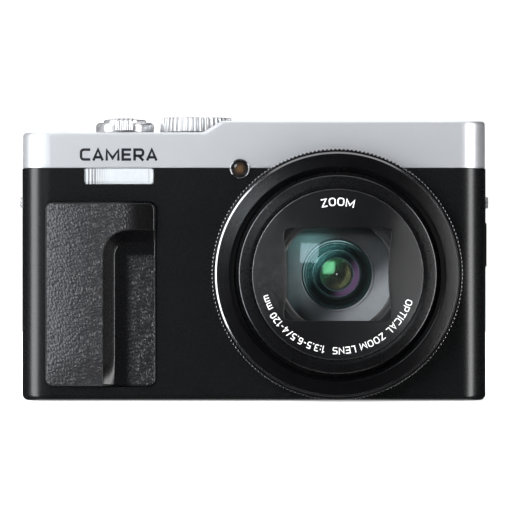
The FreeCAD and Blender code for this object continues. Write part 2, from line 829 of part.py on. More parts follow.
cut(
    top_plate, "XY", shelf_floor - beyond, shelf_top + beyond,
    (mode_x, mode_middle, mode_stem + running_gap),
    (release_x, release_middle, lever_hub + running_gap),
    *[(x, y, radius + fit_gap) for x, y, radius in TOP_KEYS.values()],
)
cut(top_plate, "XZ", front - beyond, plate_front + plate_wall + beyond, (lamp_x, lamp_z, lamp_radius + running_gap))

# ---------------------------------------------------------------------------------------------------------------
# Grip, thumb rest, flash and focus lamp
# ---------------------------------------------------------------------------------------------------------------

grip_edge = size("grip_edge", 0.1)
ridge_margin = size("ridge_margin", 0.6)
ridge_foot = size("ridge_foot", 10.5)
ridge_waist = size("ridge_waist", 13.0)
ridge_shoulder = size("ridge_shoulder", 18.5)
ridge_strip = size("ridge_strip", 4.4)
ridge_hook = size("ridge_hook", 7.0)
ridge_bend = size("ridge_bend", 5.0)
ridge_corner = size("ridge_corner", 1.5)

grip_pad = piece("grip_pad")
prism(
    grip_pad, "XZ", front - grip_skin, front + grip_recess,
    box_points(
        grip_left + grip_edge, grip_right - grip_edge, grip_bottom + grip_edge, grip_top - grip_edge, grip_corner
    ),
)
prism(
    grip_pad, "XZ", front - grip_swell, front - grip_skin,
    [
        (grip_left + ridge_margin, grip_bottom + ridge_margin, ridge_corner),
        (grip_left + ridge_foot, grip_bottom + ridge_margin, ridge_corner),
        (grip_left + ridge_waist, grip_top - ridge_shoulder, ridge_bend),
        (grip_left + ridge_waist + ridge_bend, grip_top - ridge_hook, ridge_bend),
        (grip_right - ridge_margin, grip_top - ridge_strip, ridge_corner / 2),
        (grip_right - ridge_margin, grip_top - ridge_margin, ridge_corner),
        (grip_left + ridge_margin, grip_top - ridge_margin, ridge_corner),
    ],
)

thumb_pad = piece("thumb_pad")
prism(
    thumb_pad, "XZ", back - pad_recess, back + pad_skin,
    box_points(pad_left + grip_edge, pad_right - grip_edge, pad_bottom + grip_edge, pad_top - grip_edge, pad_corner),
)
prism(
    thumb_pad, "XZ", back + pad_skin, back + pad_ridge,
    box_points(
        pad_right - pad_ridge_width, pad_right - ridge_margin,
        pad_bottom + ridge_margin, pad_top - ridge_margin, pad_corner,
    ),
)

reflector_depth = size("reflector_depth", 4.2)
reflector_wall = size("reflector_wall", 0.5)
tube_radius = size("tube_radius", 0.9)
tube_overhang = size("tube_overhang", 1.2)

flash_window = piece("flash_window")
prism(
    flash_window, "XZ", front, inner_front,
    [
        (flash_left + grip_edge, flash_bottom + grip_edge, flash_corner),
        (flash_right - grip_edge, flash_bottom + grip_edge, flash_corner),
        (flash_right - grip_edge, split_height),
        (flash_left + grip_edge, split_height),
    ],
)

reflector_front = inner_front
reflector_back = reflector_front + reflector_depth
flash_middle = split_height - flash_height / 2
flash_reflector = piece("flash_reflector")
prism(
    flash_reflector, "XZ", reflector_front, reflector_back,
    box_points(flash_left + grip_edge, flash_right - grip_edge, flash_bottom + grip_edge, split_height - grip_edge),
)
cut(
    flash_reflector, "YZ", flash_left + grip_edge + reflector_wall, flash_right - grip_edge - reflector_wall,
    [
        (reflector_front - beyond, flash_bottom + reflector_wall),
        (reflector_front, flash_bottom + reflector_wall),
        (reflector_back - reflector_wall, flash_middle - tube_radius),
        (reflector_back - reflector_wall, flash_middle + tube_radius),
        (reflector_front, split_height - reflector_wall),
        (reflector_front - beyond, split_height - reflector_wall),
    ],
)
tube_y = reflector_back - reflector_wall - tube_radius
cut(
    flash_reflector, "YZ", flash_left - beyond, flash_right + beyond,
    (tube_y, flash_middle, tube_radius),
)
keep(
    cylinder(
        "tube", tube_radius, flash_width + tube_overhang * 2, flash_left - tube_overhang, tube_y, flash_middle, "X"
    ),
    "flash_tube",
)

capacitor_radius = size("capacitor_radius", 3.5)
capacitor_length = size("capacitor_length", 28.0)
capacitor_drop = size("capacitor_drop", 5.4)  # axis below the seam
keep(
    cylinder(
        "capacitor", capacitor_radius, capacitor_length,
        battery_left + bay_gap, battery_back - capacitor_radius, split_height - capacitor_drop, "X",
    ),
    "flash_capacitor",
)

lamp_depth = size("lamp_depth", 2.2)
lamp_bezel = piece("lamp_bezel", lamp_x, 0, lamp_z)
prism(
    lamp_bezel, "XZ", front - lamp_proud, front + lamp_depth,
    (0, 0, lamp_radius),
    (0, 0, lamp_lens_radius),
)
lamp_lens = piece("lamp_lens", lamp_x, 0, lamp_z)
prism(lamp_lens, "XZ", front, front + lamp_depth, (0, 0, lamp_lens_radius))

# ---------------------------------------------------------------------------------------------------------------
# Lens: collar, control ring, barrels, barrier, glass and drive
# ---------------------------------------------------------------------------------------------------------------

base_thickness = size("base_thickness", 1.2)
sensor_gap = size("sensor_gap", 4.3)  # from the lens base to the rear cover's inner wall
blade_thickness = size("blade_thickness", 0.25)
blade_gap = size("blade_gap", 0.1)
blade_room = size("blade_room", 0.9)
window_width = size("window_width", 26.4)
window_height = size("window_height", 22.0)
window_pinch = size("window_pinch", 1.2)
window_corner = size("window_corner", 1.5)
window_waist = size("window_waist", 6.0)
blade_park = size("blade_park", 0.3)

base_back = cavity_back - sensor_gap
base_front = base_back - base_thickness
flange_front = front - collar_flange_thickness
ring_back = flange_front - ring_gap
band_front = ring_back - ring_band
groove_front = band_front - ring_groove_width
groove_radius = ring_radius - ring_groove_depth
shoulder_front = groove_front - ring_shoulder
chamfer_front = shoulder_front - ring_chamfer
face_radius = groove_radius - ring_chamfer
ring_front = chamfer_front - ring_face_depth
crown_radius = face_radius - ring_face_width
collar_front = ring_front + ring_valley_depth + ring_gap
lip_radius = crown_radius - ring_lip_width

lens_collar = piece("lens_collar", lens_x, 0, lens_z)
turned(
    lens_collar,
    [
        (collar_bore, collar_front),
        (collar_sleeve, collar_front),
        (collar_sleeve, flange_front),
        (collar_flange, flange_front),
        (collar_flange, front),
        (collar_sleeve, front),
        (collar_sleeve, base_front),
        (collar_bore, base_front),
    ],
)

control_ring = piece("control_ring", lens_x, 0, lens_z)
turned(
    control_ring,
    [
        (collar_sleeve + running_gap, ring_back),
        (ring_radius, ring_back),
        (ring_radius, band_front),
        (groove_radius, band_front),
        (groove_radius, shoulder_front),
        (face_radius, chamfer_front),
        (crown_radius, ring_front),
        (lip_radius, ring_front + ring_valley_depth / 2),
        (lip_radius, ring_front + ring_valley_depth),
        (collar_sleeve + running_gap, ring_front + ring_valley_depth),
    ],
)

outer_tube_rear = base_front - tube_rest_gap
inner_tube_rear = base_front - tube_rest_gap - inner_tube_rest_gap
outer_barrel = piece("outer_barrel", lens_x, 0, lens_z)
turned(
    outer_barrel,
    [
        (inner_tube_radius + running_gap, outer_tube_front),
        (outer_tube_radius, outer_tube_front),
        (outer_tube_radius, outer_tube_rear),
        (outer_tube_bore, outer_tube_rear),
        (outer_tube_bore, outer_tube_front + tube_lip),
        (inner_tube_radius + running_gap, outer_tube_front + tube_lip),
    ],
)

inner_barrel = piece("inner_barrel", lens_x, 0, lens_z)
turned(
    inner_barrel,
    [
        (inner_tube_bore, name_ring_back),
        (inner_tube_radius, name_ring_back),
        (inner_tube_radius, inner_tube_rear - guide_flange),
        (outer_tube_bore - running_gap, inner_tube_rear - guide_flange),
        (outer_tube_bore - running_gap, inner_tube_rear),
        (inner_tube_bore, inner_tube_rear),
    ],
)

name_ring = piece("name_ring", lens_x, 0, lens_z)
half_window = window_width / 2
half_opening = window_height / 2
prism(
    name_ring, "XZ", foremost, name_ring_back,
    (0, 0, inner_tube_radius),
    [
        (-half_window, -half_opening, window_corner),
        (half_window, -half_opening, window_corner),
        (half_window - window_pinch, 0, window_waist),
        (half_window, half_opening, window_corner),
        (-half_window, half_opening, window_corner),
        (-half_window + window_pinch, 0, window_waist),
    ],
)


def barrier_blade(name, layer, side):
    """A thin blade, parked behind the name ring above (side 1) or below (side -1) its window."""
    start = name_ring_back + blade_gap + (blade_thickness + blade_gap) * layer
    radius = inner_tube_bore - fit_gap
    disc = cylinder(f"{name}_disc", radius, blade_thickness, lens_x, start, lens_z, "Y")
    block = doc.addObject("Part::Box", f"{name}_block")
    bind(block, "Length", radius * 2)
    bind(block, "Width", blade_thickness)
    bind(block, "Height", radius)
    parked = half_opening + blade_park
    place(block, lens_x - radius, start, lens_z + (parked if side > 0 else -parked - radius))
    blade = doc.addObject("Part::Common", name)
    blade.Base = disc
    blade.Tool = block
    keep(blade, name)


barrier_blade("upper_blade", 0, 1)
barrier_blade("lower_blade", 0, -1)
barrier_blade("upper_follower", 1, 1)
barrier_blade("lower_follower", 1, -1)

front_glass = size("front_glass", 14.4)
front_curvature = size("front_curvature", 34.0)
front_glass_depth = size("front_glass_depth", 6.7)
front_opening = size("front_opening", 13.4)
front_cell_lip = size("front_cell_lip", 2.4)
cell_set_back = size("cell_set_back", 0.2)
zoom_set_back = size("zoom_set_back", 3.4)  # behind the front glass
zoom_glass = size("zoom_glass", 8.2)
zoom_curvature = size("zoom_curvature", 18.0)
zoom_opening = size("zoom_opening", 6.1)
zoom_depth = size("zoom_depth", 3.5)
zoom_glass_depth = size("zoom_glass_depth", 2.4)
shutter_thickness = size("shutter_thickness", 2.4)
shutter_opening = size("shutter_opening", 5.0)
shutter_inset = size("shutter_inset", 3.1)
focus_glass = size("focus_glass", 6.0)
focus_curvature = size("focus_curvature", 14.0)
focus_outer = size("focus_outer", 10.4)
focus_depth = size("focus_depth", 2.2)
focus_gap = size("focus_gap", 1.4)
rod_radius = size("rod_radius", 0.8)
rod_spread = size("rod_spread", 8.3)
rod_overhang = size("rod_overhang", 1.2)

cell_front = name_ring_back + blade_room
glass_apex = cell_front + cell_set_back
glass_rear = glass_apex + front_glass_depth
cell_outer = inner_tube_bore

front_cell = piece("front_cell", lens_x, 0, lens_z)
turned(
    front_cell,
    [
        (front_opening, cell_front),
        (cell_outer, cell_front),
        (cell_outer, glass_rear),
        (front_glass, glass_rear),
        (front_glass, cell_front + front_cell_lip),
        (front_opening, cell_front + front_cell_lip),
    ],
)
front_element = piece("front_element", lens_x, 0, lens_z)
lens_element(front_element, front_glass, glass_apex, front_curvature, glass_rear)

zoom_front = glass_rear + zoom_set_back
zoom_cell = piece("zoom_cell", lens_x, 0, lens_z)
turned(
    zoom_cell,
    [
        (zoom_glass, zoom_front),
        (inner_tube_bore - running_gap, zoom_front),
        (inner_tube_bore - running_gap, zoom_front + zoom_depth),
        (zoom_opening, zoom_front + zoom_depth),
        (zoom_opening, zoom_front + zoom_glass_depth),
        (zoom_glass, zoom_front + zoom_glass_depth),
    ],
)
zoom_element = piece("zoom_element", lens_x, 0, lens_z)
lens_element(zoom_element, zoom_glass, zoom_front, zoom_curvature, zoom_front + zoom_glass_depth)

shutter_rear = inner_tube_rear - shutter_inset
shutter_unit = piece("shutter_unit", lens_x, 0, lens_z)
prism(
    shutter_unit, "XZ", shutter_rear - shutter_thickness, shutter_rear,
    (0, 0, inner_tube_bore),
    (0, 0, shutter_opening),
)

focus_rear = base_front - focus_gap
focus_front = focus_rear - focus_depth
focus_carriage = piece("focus_carriage", lens_x, 0, lens_z)
prism(
    focus_carriage, "XZ", focus_front, focus_rear,
    (0, 0, focus_outer),
    (0, 0, focus_glass),
    (rod_spread, 0, rod_radius + running_gap),
    (-rod_spread, 0, rod_radius + running_gap),
)
focus_element = piece("focus_element", lens_x, 0, lens_z)
lens_element(focus_element, focus_glass, focus_front, focus_curvature, focus_rear)

sensor_half_width = size("sensor_half_width", 6.4)
sensor_half_height = size("sensor_half_height", 5.2)
aperture_half_width = size("aperture_half_width", 5.4)
aperture_half_height = size("aperture_half_height", 4.2)
sensor_thickness = size("sensor_thickness", 1.2)
sensor_board_half_width = size("sensor_board_half_width", 15.0)
sensor_board_half_height = size("sensor_board_half_height", 13.0)
board_thickness = size("board_thickness", 0.8)
board_gap = size("board_gap", 0.4)

lens_base = piece("lens_base", lens_x, 0, lens_z)
prism(
    lens_base, "XZ", base_front, base_back,
    (0, 0, collar_sleeve),
    box_points(-aperture_half_width, aperture_half_width, -aperture_half_height, aperture_half_height),
)
prism(
    lens_base, "XZ", focus_front - rod_overhang, base_front,
    (rod_spread, 0, rod_radius),
    (-rod_spread, 0, rod_radius),
)
image_sensor = piece("image_sensor", lens_x, 0, lens_z)
prism(
    image_sensor, "XZ", base_back, base_back + sensor_thickness,
    box_points(-sensor_half_width, sensor_half_width, -sensor_half_height, sensor_half_height),
)
sensor_board = piece("sensor_board", lens_x, 0, lens_z)
prism(
    sensor_board, "XZ", base_back + sensor_thickness, base_back + sensor_thickness + board_thickness,
    box_points(
        -sensor_board_half_width, sensor_board_half_width, -sensor_board_half_height, sensor_board_half_height
    ),
)

motor_radius = size("motor_radius", 4.4)
motor_bottom = size("motor_bottom", 12.0)
motor_length = size("motor_length", 18.0)
gearbox_height = size("gearbox_height", 8.0)
gearbox_half = size("gearbox_half", 4.8)
motor_step = size("motor_step", 7.4)  # axis left of the lens collar
zoom_motor = piece("zoom_motor", lens_x - collar_sleeve - motor_step, battery_front + battery_depth / 2, 0)
prism(zoom_motor, "XY", motor_bottom, motor_bottom + motor_length, (0, 0, motor_radius))
prism(
    zoom_motor, "XY", motor_bottom + motor_length, motor_bottom + motor_length + gearbox_height,
    box_points(-gearbox_half, gearbox_half, -gearbox_half, gearbox_half),
)

# ---------------------------------------------------------------------------------------------------------------
# Battery, memory card, their bay and the door
# ---------------------------------------------------------------------------------------------------------------


def block(name, x0, x1, y0, y1, z0, z1):
    """A plain rectangular piece."""
    body = piece(name)
    prism(body, "XY", z0, z1, box_points(x0, x1, y0, y1))
    return body


battery_top = battery_bottom + battery_length
card_bottom = battery_bottom
card_top = card_bottom + card_length
block("battery", battery_left, battery_right, battery_front, battery_back, battery_bottom, battery_top)
block("memory_card", card_left, card_right, card_front, card_back, card_bottom, card_top)

latch_left = battery_left + battery_width / 2
latch_back = battery_front - grip_edge
latch_front = latch_back - latch_depth
latch_bottom = battery_bottom + bay_gap
block(
    "battery_latch", latch_left, latch_left + latch_width, latch_front, latch_back,
    latch_bottom, latch_bottom + latch_height,
)

battery_box = block(
    "battery_box", bay_left, bay_right, bay_front, bay_back, battery_bottom, battery_top + bay_gap + bay_roof
)
cut(
    battery_box, "XY", battery_bottom - beyond, battery_top + bay_gap,
    box_points(battery_left - bay_gap, battery_right + bay_gap, battery_front - bay_gap, battery_back + bay_gap),
)
cut(
    battery_box, "XY", battery_bottom - beyond, card_top + bay_gap,
    box_points(card_left - bay_gap, card_right + bay_gap, card_front - bay_gap, card_back + bay_gap),
)
cut(
    battery_box, "XZ", bay_front - beyond, battery_front - bay_gap,
    box_points(
        latch_left - bay_gap, latch_left + latch_width + latch_travel + bay_gap,
        battery_bottom - beyond, latch_bottom + latch_height + bay_gap,
    ),
)

battery_door = piece("battery_door")
prism(
    battery_door, "YZ", door_left, door_right,
    [
        (door_front, 0),
        (door_axis_y + door_knuckle, 0, door_knuckle * 0.99),
        (door_axis_y + door_knuckle, cover_wall, door_knuckle * 0.99),
        (door_front, cover_wall),
    ],
)
prism(
    battery_door, "YZ", door_left - door_pin_length, door_right + door_pin_length,
    (door_axis_y, door_axis_z, door_pin),
)
lock_left = door_left + (door_right - door_left - lock_width) / 2
lock_front = door_front + lock_inset
cut(
    battery_door, "XY", -beyond, lock_height + fit_gap,
    box_points(
        lock_left - fit_gap, lock_left + lock_width + fit_gap,
        lock_front - fit_gap, lock_front + lock_length + lock_travel + fit_gap,
    ),
)
block("door_lock", lock_left, lock_left + lock_width, lock_front, lock_front + lock_length, screw_sink, lock_height)

# ---------------------------------------------------------------------------------------------------------------
# Circuit boards, ports, tripod socket, screws and strap lugs
# ---------------------------------------------------------------------------------------------------------------

board_margin = size("board_margin", 6.0)
board_bottom = size("board_bottom", 6.0)
board_top_gap = size("board_top_gap", 3.0)
top_board_drop = size("top_board_drop", 7.3)  # below the low part of the plate
top_board_margin = size("top_board_margin", 6.5)
top_board_right = size("top_board_right", 6.5)  # right of the mode dial's axis
top_board_inset = size("top_board_inset", 4.0)
rear_board_inset = size("rear_board_inset", 1.4)  # ahead of the rear cover's inner face
rear_board_top = size("rear_board_top", 36.0)
rear_board_gap = size("rear_board_gap", 1.0)

block(
    "main_board", board_margin - half_width, half_width - board_margin,
    cavity_back - board_gap - board_thickness, cavity_back - board_gap, board_bottom, split_height - board_top_gap,
)
block(
    "top_board", top_board_margin - half_width, mode_x + top_board_right,
    inner_front + top_board_inset, inner_back - top_board_inset / 2,
    shelf_top - top_board_drop, shelf_top - top_board_drop + board_thickness,
)
block(
    "rear_board", board_margin - half_width, recess_left - recess_wall - rear_board_gap,
    inner_back - rear_board_inset - board_thickness, inner_back - rear_board_inset, board_bottom, rear_board_top,
)

usb_width = size("usb_width", 2.6)
hdmi_width = size("hdmi_width", 2.6)
port_socket_depth = size("port_socket_depth", 5.6)
port_socket_wall = size("port_socket_wall", 0.3)
port_socket_height = size("port_socket_height", 8.0)
port_socket_gap = size("port_socket_gap", 0.5)


def open_shell(name, x0, x1, y0, y1, z0, z1):
    """A thin metal shell, open towards +X."""
    outer = doc.addObject("Part::Box", f"{name}_outer")
    hollow = doc.addObject("Part::Box", f"{name}_hollow")
    wall = port_socket_wall
    for item, low, high in ((outer, (x0, y0, z0), (x1, y1, z1)),
                            (hollow, (x0 + wall, y0 + wall, z0 + wall), (x1 + wall, y1 - wall, z1 - wall))):
        place(item, *low)
        for key, a, b in zip(("Length", "Width", "Height"), low, high):
            bind(item, key, b - a)
    shell = doc.addObject("Part::Cut", name)
    shell.Base = outer
    shell.Tool = hollow
    return shell


def group(name, members):
    """Several separate solids kept as one sub-part."""
    bundle = doc.addObject("Part::Compound", name)
    bundle.Links = members
    return keep(bundle, name)


socket_back_x = inner_side - port_socket_gap
socket_low = port_bottom + (port_height - port_socket_height) / 2
usb_front = port_front + port_socket_gap
hdmi_front = usb_front + usb_width + port_socket_gap
group(
    "port_sockets",
    [
        open_shell(
            "usb_socket", socket_back_x - port_socket_depth, socket_back_x, usb_front, usb_front + usb_width,
            socket_low, socket_low + port_socket_height,
        ),
        open_shell(
            "hdmi_socket", socket_back_x - port_socket_depth, socket_back_x, hdmi_front, hdmi_front + hdmi_width,
            socket_low, socket_low + port_socket_height,
        ),
    ],
)

tripod_socket = piece("tripod_socket", socket_x, socket_middle, 0)
turned(
    tripod_socket,
    [
        (socket_bore, 0),
        (socket_outer, 0),
        (socket_outer, cover_wall),
        (socket_flange, cover_wall),
        (socket_flange, cover_wall + socket_flange_height),
        (socket_outer, cover_wall + socket_flange_height),
        (socket_outer, socket_depth + socket_cap),
        (0, socket_depth + socket_cap),
        (0, socket_depth),
        (socket_bore, socket_depth),
    ],
    "XZ",
)


def screw(name, x, y, z, along, way):
    """A screw whose head lies just under the surface at a point; it runs inwards along an axis."""
    parts = []
    for label, radius, start, length in (
        ("head", screw_head, screw_sink, screw_head_height),
        ("shank", screw_shank, screw_seat, screw_length - screw_head_height),
    ):
        reach = start if way > 0 else -start - length
        at = {"X": (x + reach, y, z), "Z": (x, y, z + reach)}[along]
        parts.append(cylinder(f"{name}_{label}", radius, length, *at, along))
    joined = doc.addObject("Part::MultiFuse", name)
    joined.Shapes = parts
    return joined


screws = [screw(f"base_screw_{i}", x, screw_middle, 0, "Z", 1) for i, x in enumerate(base_screws)]
screws.append(screw("right_screw", half_width, screw_middle, screw_side_z, "X", -1))
screws.append(screw("left_screw", -half_width, screw_middle, screw_side_z, "X", 1))
group("case_screws", screws)


def strap_lug(name, side):
    """A low metal loop that bridges the recess in one side of the front cover."""
    base = half_width - lug_recess_depth
    reach = lug_recess_depth + lug_standout
    loop = doc.addObject("Part::Box", f"{name}_loop")
    slot = doc.addObject("Part::Box", f"{name}_slot")
    depth = reach - lug_bar
    for item, x_size, half, low, height in (
        (loop, reach, lug_length / 2, lug_bottom, lug_height),
        (slot, depth, lug_length / 2 - lug_leg, lug_bottom - beyond, lug_height + beyond * 2),
    ):
        bind(item, "Length", x_size)
        bind(item, "Width", half * 2)
        bind(item, "Height", height)
        place(item, base if side > 0 else -base - x_size, lug_middle - half, low)
    lug = doc.addObject("Part::Cut", name)
    lug.Base = loop
    lug.Tool = slot
    return lug


group("strap_lugs", [strap_lug("right_lug", 1), strap_lug("left_lug", -1)])

# ---------------------------------------------------------------------------------------------------------------
# Controls on the top plate
# ---------------------------------------------------------------------------------------------------------------

lever_bottom = shelf_top + lever_lift
lever_top = shelf_top + lever_rise
hub_bottom = lever_bottom - lever_hub_length
zoom_lever = piece("zoom_lever", release_x, release_middle, 0)
turned(
    zoom_lever,
    [
        (release_stem + running_gap, hub_bottom),
        (lever_hub, hub_bottom),
        (lever_hub, lever_bottom),
        (lever_radius, lever_bottom),
        (lever_radius, lever_top, lever_bevel),
        (release_radius + fit_gap, lever_top),
        (release_radius + fit_gap, lever_bottom + lever_floor),
        (release_stem + running_gap, lever_bottom + lever_floor),
    ],
    "XZ",
)
tab_root = lever_radius - lever_tab_corner
prism(
    zoom_lever, "XY", shelf_top + lever_tab_lift, shelf_top + lever_tab_rise,
    [
        (-lever_tab_width / 2, -lever_tab_reach, lever_tab_corner),
        (lever_tab_width / 2, -lever_tab_reach, lever_tab_corner),
        (lever_tab_width / 2, -tab_root + lever_tab_corner),
        (-lever_tab_width / 2, -tab_root + lever_tab_corner),
    ],
)

release_top = shelf_top + release_rise
clip_top = hub_bottom - running_gap
shutter_button = piece("shutter_button", release_x, release_middle, 0)
turned(
    shutter_button,
    [
        (0, clip_top - release_clip_height),
        (release_clip, clip_top - release_clip_height),
        (release_clip, clip_top),
        (release_stem, clip_top),
        (release_stem, release_top - release_cap),
        (release_radius, release_top - release_cap),
        (release_radius, release_top, release_bevel),
        (0, release_top),
    ],
    "XZ",
)

mode_dial = piece("mode_dial", mode_x, mode_middle, 0)
turned(
    mode_dial,
    [
        (0, mode_bottom - mode_stem_length),
        (mode_stem, mode_bottom - mode_stem_length),
        (mode_stem, mode_bottom),
        (mode_radius, mode_bottom),
        (mode_radius, mode_bottom + mode_height - mode_bevel),
        (mode_radius - mode_bevel, mode_bottom + mode_height),
        (0, mode_bottom + mode_height),
    ],
    "XZ",
)


def push_key(name, radius, under, outside, plane, x, y, z):
    """A round key: a cap that stands out of the casing and a wider flange behind the wall that holds it in."""
    key = piece(name, x, y, z)
    flange_top = under - key_play
    turned(
        key,
        [
            (0, flange_top - key_flange_height),
            (radius + key_flange, flange_top - key_flange_height),
            (radius + key_flange, flange_top),
            (radius, flange_top),
            (radius, outside - key_bevel),
            (radius - key_bevel, outside),
            (0, outside),
        ],
        plane,
    )


for name, (x, y, radius) in TOP_KEYS.items():
    push_key(name, radius, shelf_floor, shelf_top + key_bevel, "XZ", x, y, 0)

# ---------------------------------------------------------------------------------------------------------------
# Controls on the rear cover
# ---------------------------------------------------------------------------------------------------------------

rear_dial = piece("rear_dial", dial_x, 0, dial_z)
turned(
    rear_dial,
    [
        (dial_inner, dial_back),
        (dial_outer, dial_back),
        (dial_outer, dial_back + dial_height - dial_bevel),
        (dial_outer - dial_bevel, dial_back + dial_height),
        (dial_inner + dial_bevel, dial_back + dial_height),
        (dial_inner, dial_back + dial_height - dial_bevel),
    ],
)
push_key("set_button", set_radius, inner_back, back + key_proud, "XY", dial_x, 0, dial_z)
for name, (x, z) in REAR_KEYS.items():
    push_key(name, key_radius, inner_back, back + key_proud, "XY", x, 0, z)

# ---------------------------------------------------------------------------------------------------------------
# Monitor with its hinge, and the port door
# ---------------------------------------------------------------------------------------------------------------

monitor_frame = piece("monitor_frame")
prism(
    monitor_frame, "XZ", monitor_front, monitor_back,
    box_points(monitor_left, monitor_right, monitor_bottom, monitor_top, monitor_corner),
)
cut(
    monitor_frame, "XZ", monitor_back - glass_thickness, monitor_back + beyond,
    box_points(
        monitor_left + glass_border, monitor_right - glass_border,
        monitor_bottom + glass_border, monitor_top - glass_border, monitor_corner / 2,
    ),
)
left_knuckle = monitor_left + knuckle_inset
right_knuckle = monitor_right - knuckle_inset
for low, high in (
    (left_knuckle, left_knuckle + knuckle_length),
    (right_knuckle - knuckle_length, right_knuckle),
):
    prism(
        monitor_frame, "YZ", low, high,
        box_points(hinge_y - hinge_web, hinge_y, monitor_top - glass_border / 2, hinge_z),
    )
    prism(monitor_frame, "YZ", low, high, (hinge_y, hinge_z, knuckle_radius))
cut(
    monitor_frame, "YZ", monitor_left, monitor_right,
    (hinge_y, hinge_z, hinge_pin + running_gap),
)

monitor_glass = piece("monitor_glass")
prism(
    monitor_glass, "XZ", monitor_back - glass_thickness, monitor_back,
    box_points(
        monitor_left + glass_border, monitor_right - glass_border,
        monitor_bottom + glass_border, monitor_top - glass_border, monitor_corner / 2,
    ),
)

bracket_left = left_knuckle + knuckle_length + bracket_gap
bracket_right = right_knuckle - knuckle_length - bracket_gap
hinge_bracket = piece("hinge_bracket")
prism(
    hinge_bracket, "YZ", bracket_left, bracket_right,
    box_points(recess_floor, hinge_y - hinge_web, monitor_top + bracket_gap, split_height),
)
prism(
    hinge_bracket, "YZ", bracket_left, bracket_right,
    box_points(hinge_y - hinge_web, hinge_y, hinge_z - bracket_gap, hinge_z + bracket_gap),
)
prism(hinge_bracket, "YZ", bracket_left, bracket_right, (hinge_y, hinge_z, knuckle_radius))
cut(hinge_bracket, "YZ", bracket_left - beyond, bracket_right + beyond, (hinge_y, hinge_z, hinge_pin))
keep(
    cylinder("pin", hinge_pin, right_knuckle - left_knuckle, left_knuckle, hinge_y, hinge_z, "X"),
    "hinge_pin",
)

port_door = piece("port_door")
prism(
    port_door, "XY", port_bottom, port_top,
    [
        (port_outer - port_thickness, port_front),
        (port_outer, port_front),
        (port_outer, port_axis_y + port_knuckle, port_knuckle * 0.99),
        (port_outer - port_thickness, port_axis_y + port_knuckle, port_knuckle * 0.99),
    ],
)
prism(
    port_door, "XY", port_bottom - port_pin_length, port_top + port_pin_length,
    (port_axis_x, port_axis_y, port_pin),
)

# ---------------------------------------------------------------------------------------------------------------
# Check and write every sub-part
# ---------------------------------------------------------------------------------------------------------------

doc.recompute()
for item in doc.Objects:
    if "Invalid" in item.State or "Error" in item.State:
        raise RuntimeError(f"{item.Name} did not build: {item.State}")
os.makedirs("parts", exist_ok=True)
for item in PIECES:
    if item.Shape.isNull() or not item.Shape.isValid() or item.Shape.Volume < 1e-3:
        raise RuntimeError(f"{item.Label} has no valid solid")
    item.Shape.exportStep(f"parts/{item.Label}.step")
print(f"{len(PIECES)} sub-parts written")
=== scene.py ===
import math

import bmesh
import bpy
import numpy as np
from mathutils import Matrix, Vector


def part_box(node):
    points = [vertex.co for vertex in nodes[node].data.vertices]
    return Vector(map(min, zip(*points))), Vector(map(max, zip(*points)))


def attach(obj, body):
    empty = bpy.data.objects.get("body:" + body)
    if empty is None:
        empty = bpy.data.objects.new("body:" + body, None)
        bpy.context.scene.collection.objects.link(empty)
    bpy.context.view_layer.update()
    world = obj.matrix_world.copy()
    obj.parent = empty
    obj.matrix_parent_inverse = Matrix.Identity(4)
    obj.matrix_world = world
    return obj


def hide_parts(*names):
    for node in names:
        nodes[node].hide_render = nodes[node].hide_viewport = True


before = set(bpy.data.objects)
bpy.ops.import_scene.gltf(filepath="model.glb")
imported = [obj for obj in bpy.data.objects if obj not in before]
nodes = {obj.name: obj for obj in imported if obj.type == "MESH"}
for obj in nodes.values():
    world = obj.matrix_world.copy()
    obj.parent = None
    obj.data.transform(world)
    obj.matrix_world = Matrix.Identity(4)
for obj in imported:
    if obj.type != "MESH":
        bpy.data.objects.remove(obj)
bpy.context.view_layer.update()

MM = 0.001


# ----------------------------------------
# Covers: two moulded shells in black, with a fine spark-eroded grain and a hard satin lacquer over it. The
# battery door, its lock, the port door and the monitor's frame are moulded in the same black.
# ----------------------------------------


class Wire:
    """A shader socket. Each operator adds the Math node that works it out, or a Map Range node for a step."""

    def __init__(self, finish, socket):
        self.finish = finish
        self.socket = socket

    def math(self, operation, *values, clamp=False):
        settings = {"operation": operation, "use_clamp": clamp}
        return self.finish.node("ShaderNodeMath", settings, dict(enumerate((self,) + values)))

    def __add__(self, other):
        return self.math("ADD", other)

    def __sub__(self, other):
        return self.math("SUBTRACT", other)

    def __mul__(self, other):
        return self.math("MULTIPLY", other)

    def __truediv__(self, other):
        return self.math("DIVIDE", other)

    def __rsub__(self, other):
        return self.math("MULTIPLY", -1.0) + other

    def __abs__(self):
        return self.math("ABSOLUTE")

    def waves(self, pitch):
        """A sine of the given pitch, moved to run from 0 to 1."""
        return (self * (2 * math.pi / pitch)).math("SINE") * 0.5 + 0.5

    def step(self, low, high):
        """0 below low, 1 above high, and a smooth S curve between; the other way round where high is below
        low."""
        if high < low:
            return 1.0 - self.step(high, low)
        inputs = {"Value": self, "From Min": low, "From Max": high}
        return self.finish.node("ShaderNodeMapRange", {"interpolation_type": "SMOOTHSTEP"}, inputs)

    __radd__ = __add__
    __rmul__ = __mul__


